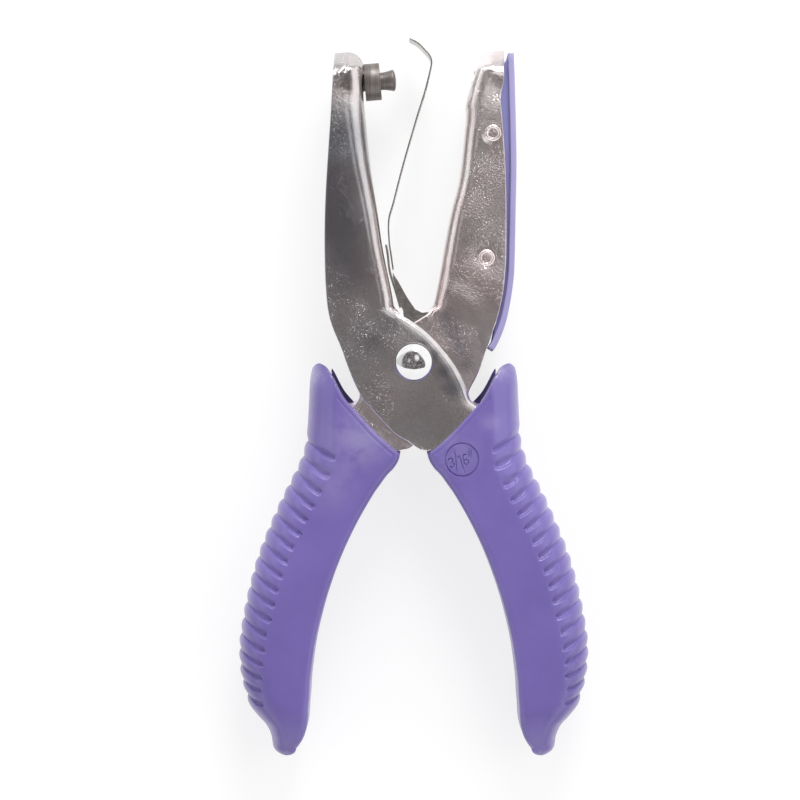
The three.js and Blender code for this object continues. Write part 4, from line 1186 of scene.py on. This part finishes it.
def grip_sections(first, pitch):
    """Rings round the grip, each from the upper flat over the palm side to the lower flat and back inside."""
    palm = grip_curve(GRIP_PALM, 24)
    inner = grip_curve(GRIP_INNER, 24)
    thickness = [p[1] for p in smooth(list(enumerate(GRIP_THICKNESS)), 24)]
    arc = run_lengths(palm)
    total = arc[-1]
    stations = np.concatenate([
        np.arange(0, GROOVED_FROM, PLAIN_GAP), np.arange(GROOVED_FROM, GROOVED_TO, GROOVED_GAP),
        np.arange(GROOVED_TO, total - TAIL_REACH, TAIL_GAP),
    ])
    places = np.interp(stations, arc, np.linspace(0, 1, len(arc)))
    palm_at = sampled(palm, places)
    inner_at = sampled(inner, np.clip(places + SECTION_LEAD * np.sin(math.pi * places), 0, 1))
    thick_at = np.interp(places, np.linspace(0, 1, len(thickness)), np.clip(thickness, 0, 1))

    # A few smaller sections beyond the last one round the tail's tip
    middle, half_width = (palm_at[-1] + inner_at[-1]) / 2, (palm_at[-1] - inner_at[-1]) / 2
    for t in TAIL_STEPS:
        shrink = math.sqrt(1 - t * t)
        centre = middle + np.array((0.0, -TAIL_DROP * t))
        palm_at = np.vstack((palm_at, centre + half_width * shrink))
        inner_at = np.vstack((inner_at, centre - half_width * shrink))
        thick_at = np.append(thick_at, thick_at[len(stations) - 1] * math.sqrt(1 - 0.8 * t * t))
    stations = np.append(stations, [total] * len(TAIL_STEPS))

    angles = np.linspace(math.pi / 2, -math.pi / 2, ROUND_STEPS + 1)
    rings, halves = [], []
    for station, p, q, thick in zip(stations, palm_at, inner_at, thick_at):
        half = GRIP_HALF * thick
        width = np.linalg.norm(p - q)
        along = (p - q) / width
        around = min(GRIP_PALM_ROUND, width * 0.5)
        corner = min(GRIP_INNER_ROUND, width * CORNER_SHARE, half * CORNER_SHARE + 0.15)
        inward = around * (1 - np.cos(angles))
        depth = 0 * angles
        if station < total:
            depth = groove_depth(np.full(len(angles), station), inward, first, pitch)
        crest = ease(np.clip((around - inward) / 3.0, 0, 1))
        drop = 0.5 * crest * np.clip(inward / 3.5, 0, 1) * np.clip((25 - station) / 5, 0, 1)
        ring = []
        for a, d, less in zip(angles, depth, drop):
            c, s = math.cos(a), math.sin(a)
            reach = width - around + (around - d * c**0.5 if c > 0 else around) * c
            ring.append((*(q + along * reach), (half - less - d * abs(s)) * s))

        def corner_point(share, side):
            a = math.pi / 2 * share
            across = corner - corner * math.sin(a)
            return (*(q + along * across), side * (half - corner + corner * math.cos(a)))

        shares = [k / CORNER_STEPS for k in range(CORNER_STEPS + 1)]
        ring += [corner_point(share, -1) for share in shares]
        ring += [(*q, (half - corner) * (-1 + 2 * k / SIDE_STEPS)) for k in range(1, SIDE_STEPS)]
        ring += [corner_point(1 - share, 1) for share in shares]
        rings.append(ring)
        halves.append(half)
    return rings, np.array(halves)


def flat(side, rings, halves, mouth, marked, first):
    """The upper or lower flat: its new points, counted from a first index on, and triangles to the rings."""
    count = len(rings[0])
    seam, far_seam = ([np.array(ring[k][:2]) for ring in rings] for k in (0, -1))
    outline = [*seam, *far_seam[::-1]]
    guides = offset_lines(mouth, ring_distances(RIM_ROUND, 5)[:-1] + RIM_RINGS)
    for line in (seam, seam[::-1], far_seam, far_seam[::-1]):
        guides += offset_lines(line[::2], [0.3, 0.9])
    if marked:
        beside = [MARK_STROKE * 0.6, MARK_STROKE, MARK_STROKE * 1.5]
        for stroke in mark_strokes():
            guides += [stroke, *offset_lines(stroke, beside), *offset_lines(stroke[::-1], beside)]
    points, tris = triangulated(outline, guides)
    near, place, _ = nearest(points, seam)
    far, far_place, _ = nearest(points, far_seam)
    index = np.arange(len(halves))
    half = np.interp(place, index, halves) * far + np.interp(far_place, index, halves) * near
    half /= near + far
    gap = nearest(points, mouth)[0]
    depth = fall(gap, RIM_ROUND) + BEAD_HEIGHT * np.exp(-(((gap - BEAD_FROM_RIM) / BEAD_WIDTH) ** 2))
    if marked:
        depth += mark_depth(points)
    known = {(round(p[0], 3), round(p[1], 3)): i for i, p in enumerate(outline)}
    at, verts = [], []
    for (x, y), h, d in zip(points, half, depth):
        found = known.get((round(x, 3), round(y, 3)))
        if found is None:
            at.append(first + len(verts))
            verts.append((x, y, side * (h - d)))
        elif found < len(seam):
            at.append(found * count + (0 if side > 0 else ROUND_STEPS))
        else:
            ring = len(outline) - 1 - found
            at.append(ring * count + (count - 1 if side > 0 else ROUND_STEPS + 1))
    return verts, [tuple(at[i] for i in t) for t in tris]


def grip_body(mouth, marked, first, pitch):
    rings, halves = grip_sections(first, pitch)
    count, last = len(rings[0]), len(rings) - 1
    verts = [v for ring in rings for v in ring]
    faces = []
    for a in range(0, last * count, count):
        b = a + count
        faces += [(a + i, a + i + 1, b + i + 1, b + i) for i in range(count - 1) if i != ROUND_STEPS]
    faces += [tuple(range(count)), tuple(range(last * count, len(verts)))]
    ringed = len(verts)
    for side in (1, -1):
        more, triangles = flat(side, rings, halves, mouth, marked and side > 0, len(verts))
        verts += more
        faces += triangles

    # The rim is rounded, and the horn falls towards its tip
    v = np.array(verts)
    near_top = (np.arange(len(v)) < ringed) & (np.abs(v[:, 2]) > 0.8 * GRIP_HALF)
    v[:, 2] -= np.where(near_top, np.sign(v[:, 2]) * fall(nearest(v[:, :2], mouth)[0], RIM_ROUND), 0)
    tip = np.array((HORN_AT * GRIP_SPREAD, 0.0))
    near_tip = np.clip(1 - np.linalg.norm(v[:, :2] - tip, axis=1) / HORN_ROUND, 0, 1)
    v[:, 2] *= 1 - HORN_FALL / GRIP_HALF * near_tip**2
    return mesh_from(v, faces)


def grip(node, body, cavity_half, mirror, first, pitch):
    """A grip with grooves from a first one on, cut open at its mouth and hollow over its handle."""
    mouth = grip_curve(MOUTH, 6)
    bm = grip_body(mouth, not mirror, first, pitch)
    far = np.array((-GRIP_SPREAD, GRIP_SPREAD))
    beyond = [*mouth, np.array((far[0], mouth[-1][1])), far, np.array((mouth[0][0], far[1]))]
    above = [p + np.array((0, BACK_LIP)) for p in beyond]
    top = GRIP_HALF + 2
    bm = combined(bm, *slab(beyond, -OUTER_HALF - FIT_GAP, top, 0.02, 1))
    bm = combined(bm, *slab(above, -top, 0, 0.02, 1))
    handle, inner, gap = grip_curve(HANDLE_PALM, 3), grip_curve(HANDLE_INNER, 2), np.array((FIT_GAP, 0))
    away = np.array((-3.8, 3.8))
    outside = [handle[0] + 2 * away, handle[0] + away, *[p + gap for p in handle]]
    hollow = [*outside, *[p - gap for p in inner], inner[-1] + away]
    room = cavity_half + FIT_GAP
    bm = combined(bm, *slab(hollow, -room, room, BEND_RADIUS + FIT_GAP / 2, 6, dense(outside[::-1], 1.0)))
    finished(node + "_moulded", bm, GRIP, body, node, mirror=mirror, sharp=50)


# Stage, light and camera

PHOTO_SIDE = 800
PHOTO_PER_MM = 4.47
PHOTO_PIVOT = (413.8, 361.9)
CAMERA_DISTANCE = 0.75
REFERENCE_HEIGHT = 3.0
HORIZON_LEVEL = 1.45
ZENITH_LEVEL = 0.16
PANEL_LEVEL = 1.2
FLOOR_MIRRORED = 0.62
FLOOR_SEEN = 0.76
FLOOR_REACH = 3.0
FLOOR_DROP = 0.0002


def stage():
    """A pale floor that the camera sees nearly white, and that metal shows brighter near the tool."""
    mesh = bpy.data.meshes.new("floor")
    corners = [(x * FLOOR_REACH, y * FLOOR_REACH, 0) for x, y in ((-1, -1), (1, -1), (1, 1), (-1, 1))]
    mesh.from_pydata(corners, [], [(0, 1, 2, 3)])
    floor = added("floor", mesh)
    floor.location.z = -FLOOR_DROP
    material, nodes = nodes_of("floor")
    path = nodes.node("LightPath", {}).outputs
    pale = nodes.layered(0.72, 0.3, path["Is Camera Ray"])
    pale = nodes.layered(pale, 0.42, path["Is Glossy Ray"])
    seen = nodes.calc("MAXIMUM", path["Is Camera Ray"], path["Is Transmission Ray"])
    x, y, _ = nodes.axes()
    mottled = nodes.ramp(nodes.noise(16.0), (0.4, 0.6), (0.6, 1.15))
    reach = nodes.times(nodes.between(y, 0.26, 0.1), FLOOR_MIRRORED)
    reach = nodes.times(reach, nodes.between(nodes.calc("ABSOLUTE", x), 0.14, 0.035))
    mirrored = nodes.times(path["Is Glossy Ray"], nodes.times(reach, mottled))
    level = nodes.plus(nodes.times(seen, FLOOR_SEEN), mirrored)
    shader = material.node_tree.nodes["Principled BSDF"]
    inputs = {"Base Color": pale, "Roughness": 0.9, "Emission Color": 1.0, "Emission Strength": level}
    for name, value in inputs.items():
        nodes.put(value, shader.inputs[name])
    mesh.materials.append(material)


def world():
    """Pale panels all round and a dim ceiling over the tool, which bright metal shows."""
    scene = bpy.context.scene
    scene.world = bpy.data.worlds.new("studio")
    scene.world.use_nodes = True
    nodes = Nodes(scene.world.node_tree)
    calc, times, between = nodes.calc, nodes.times, nodes.between
    x, y, z = nodes.axes("Generated")
    height = calc("MAXIMUM", z, 0.02)
    across, along = calc("DIVIDE", x, height), calc("DIVIDE", y, height)

    def glow(x, y, wide, high):
        dx = calc("DIVIDE", calc("SUBTRACT", across, x), wide)
        dy = calc("DIVIDE", calc("SUBTRACT", along, y), high)
        return between(nodes.plus(times(dx, dx), times(dy, dy)), 1.0, 0.0)

    right = nodes.plus(times(across, 0.75), times(along, 0.65))
    left = calc("SUBTRACT", times(along, 0.6), times(across, 0.8))
    studio = nodes.ramp(nodes.noise(12.0), (0.44, (0.055, 0.057, 0.065)), (0.58, (0.38, 0.345, 0.335)))
    for level, share in (
        ((0.6, 0.6, 0.61), between(across, -1.2, -1.35)),
        (PANEL_LEVEL * 0.9, between(across, 1.15, 1.35)),
        (PANEL_LEVEL, between(right, 0.7, 1.0)),
        (0.8, between(left, 1.1, 1.35)),
        (PANEL_LEVEL, between(along, 0.85, 1.35)),
        (PANEL_LEVEL * 0.95, between(along, -0.63, -0.66)),
        (PANEL_LEVEL, times(glow(0.25, 0.34, 0.26, 0.36), 0.9)),
        (0.9, times(glow(-0.38, 0.07, 0.12, 0.2), 0.7)),
        (0.1, between(z, 0.1, 0.07)),
    ):
        studio = nodes.layered(studio, level, share)

    path = nodes.node("LightPath", {}).outputs
    soft = nodes.ramp(z, (0.0, HORIZON_LEVEL), (1.0, ZENITH_LEVEL))
    light = nodes.layered(soft, studio, path["Is Glossy Ray"])
    background = nodes.tree.nodes["Background"]
    nodes.put(nodes.layered(light, 1.0, path["Is Camera Ray"]), background.inputs["Color"])
    background.inputs["Strength"].default_value = 1.0


def lamp(name, location, size, power, mirrored):
    data = bpy.data.lights.new(name, "AREA")
    data.shape = "DISK"
    data.size = size
    data.energy = power
    light = added(name, data)
    light.location = location
    light.rotation_euler = (PIVOT - Vector(location)).to_track_quat("-Z", "Y").to_euler()
    light.visible_glossy = mirrored


def camera():
    """The photograph's frame, seen straight from above."""
    data = bpy.data.cameras.new("camera")
    data.sensor_width = 36.0
    data.lens = data.sensor_width * CAMERA_DISTANCE / (PHOTO_SIDE / PHOTO_PER_MM * MM)
    data.clip_start = 0.01
    view = added("camera", data)
    centre = PHOTO_SIDE / 2
    view.location = (
        PIVOT.x + (centre - PHOTO_PIVOT[0]) / PHOTO_PER_MM * MM,
        PIVOT.y + (PHOTO_PIVOT[1] - centre) / PHOTO_PER_MM * MM,
        PIVOT.z + REFERENCE_HEIGHT * MM + CAMERA_DISTANCE,
    )
    bpy.context.scene.camera = view


camera()
stage()
world()
lamp("key", (0.12, 0.8, 0.46), 0.4, 4.8, True)
lamp("fill", (0.5, 0.1, 0.7), 0.5, 0.8, False)

punch_lever()
die_lever()
punch_pieces()
pivot_rivet()
spring_coil()
stripper()
chip_tray()
grip("punch_grip", "punch_side", OUTER_HALF, False, 18.3, 3.61)
grip("die_grip", "die_side", INNER_HALF, True, 20.1, 3.52)

for node in ("die_bush", "spacer_sleeve"):
    frame["nodes"][node].data.materials.clear()
    frame["nodes"][node].data.materials.append(GROUND)

bpy.context.scene.view_settings.view_transform = "Standard"

bpy.context.view_layer.update()
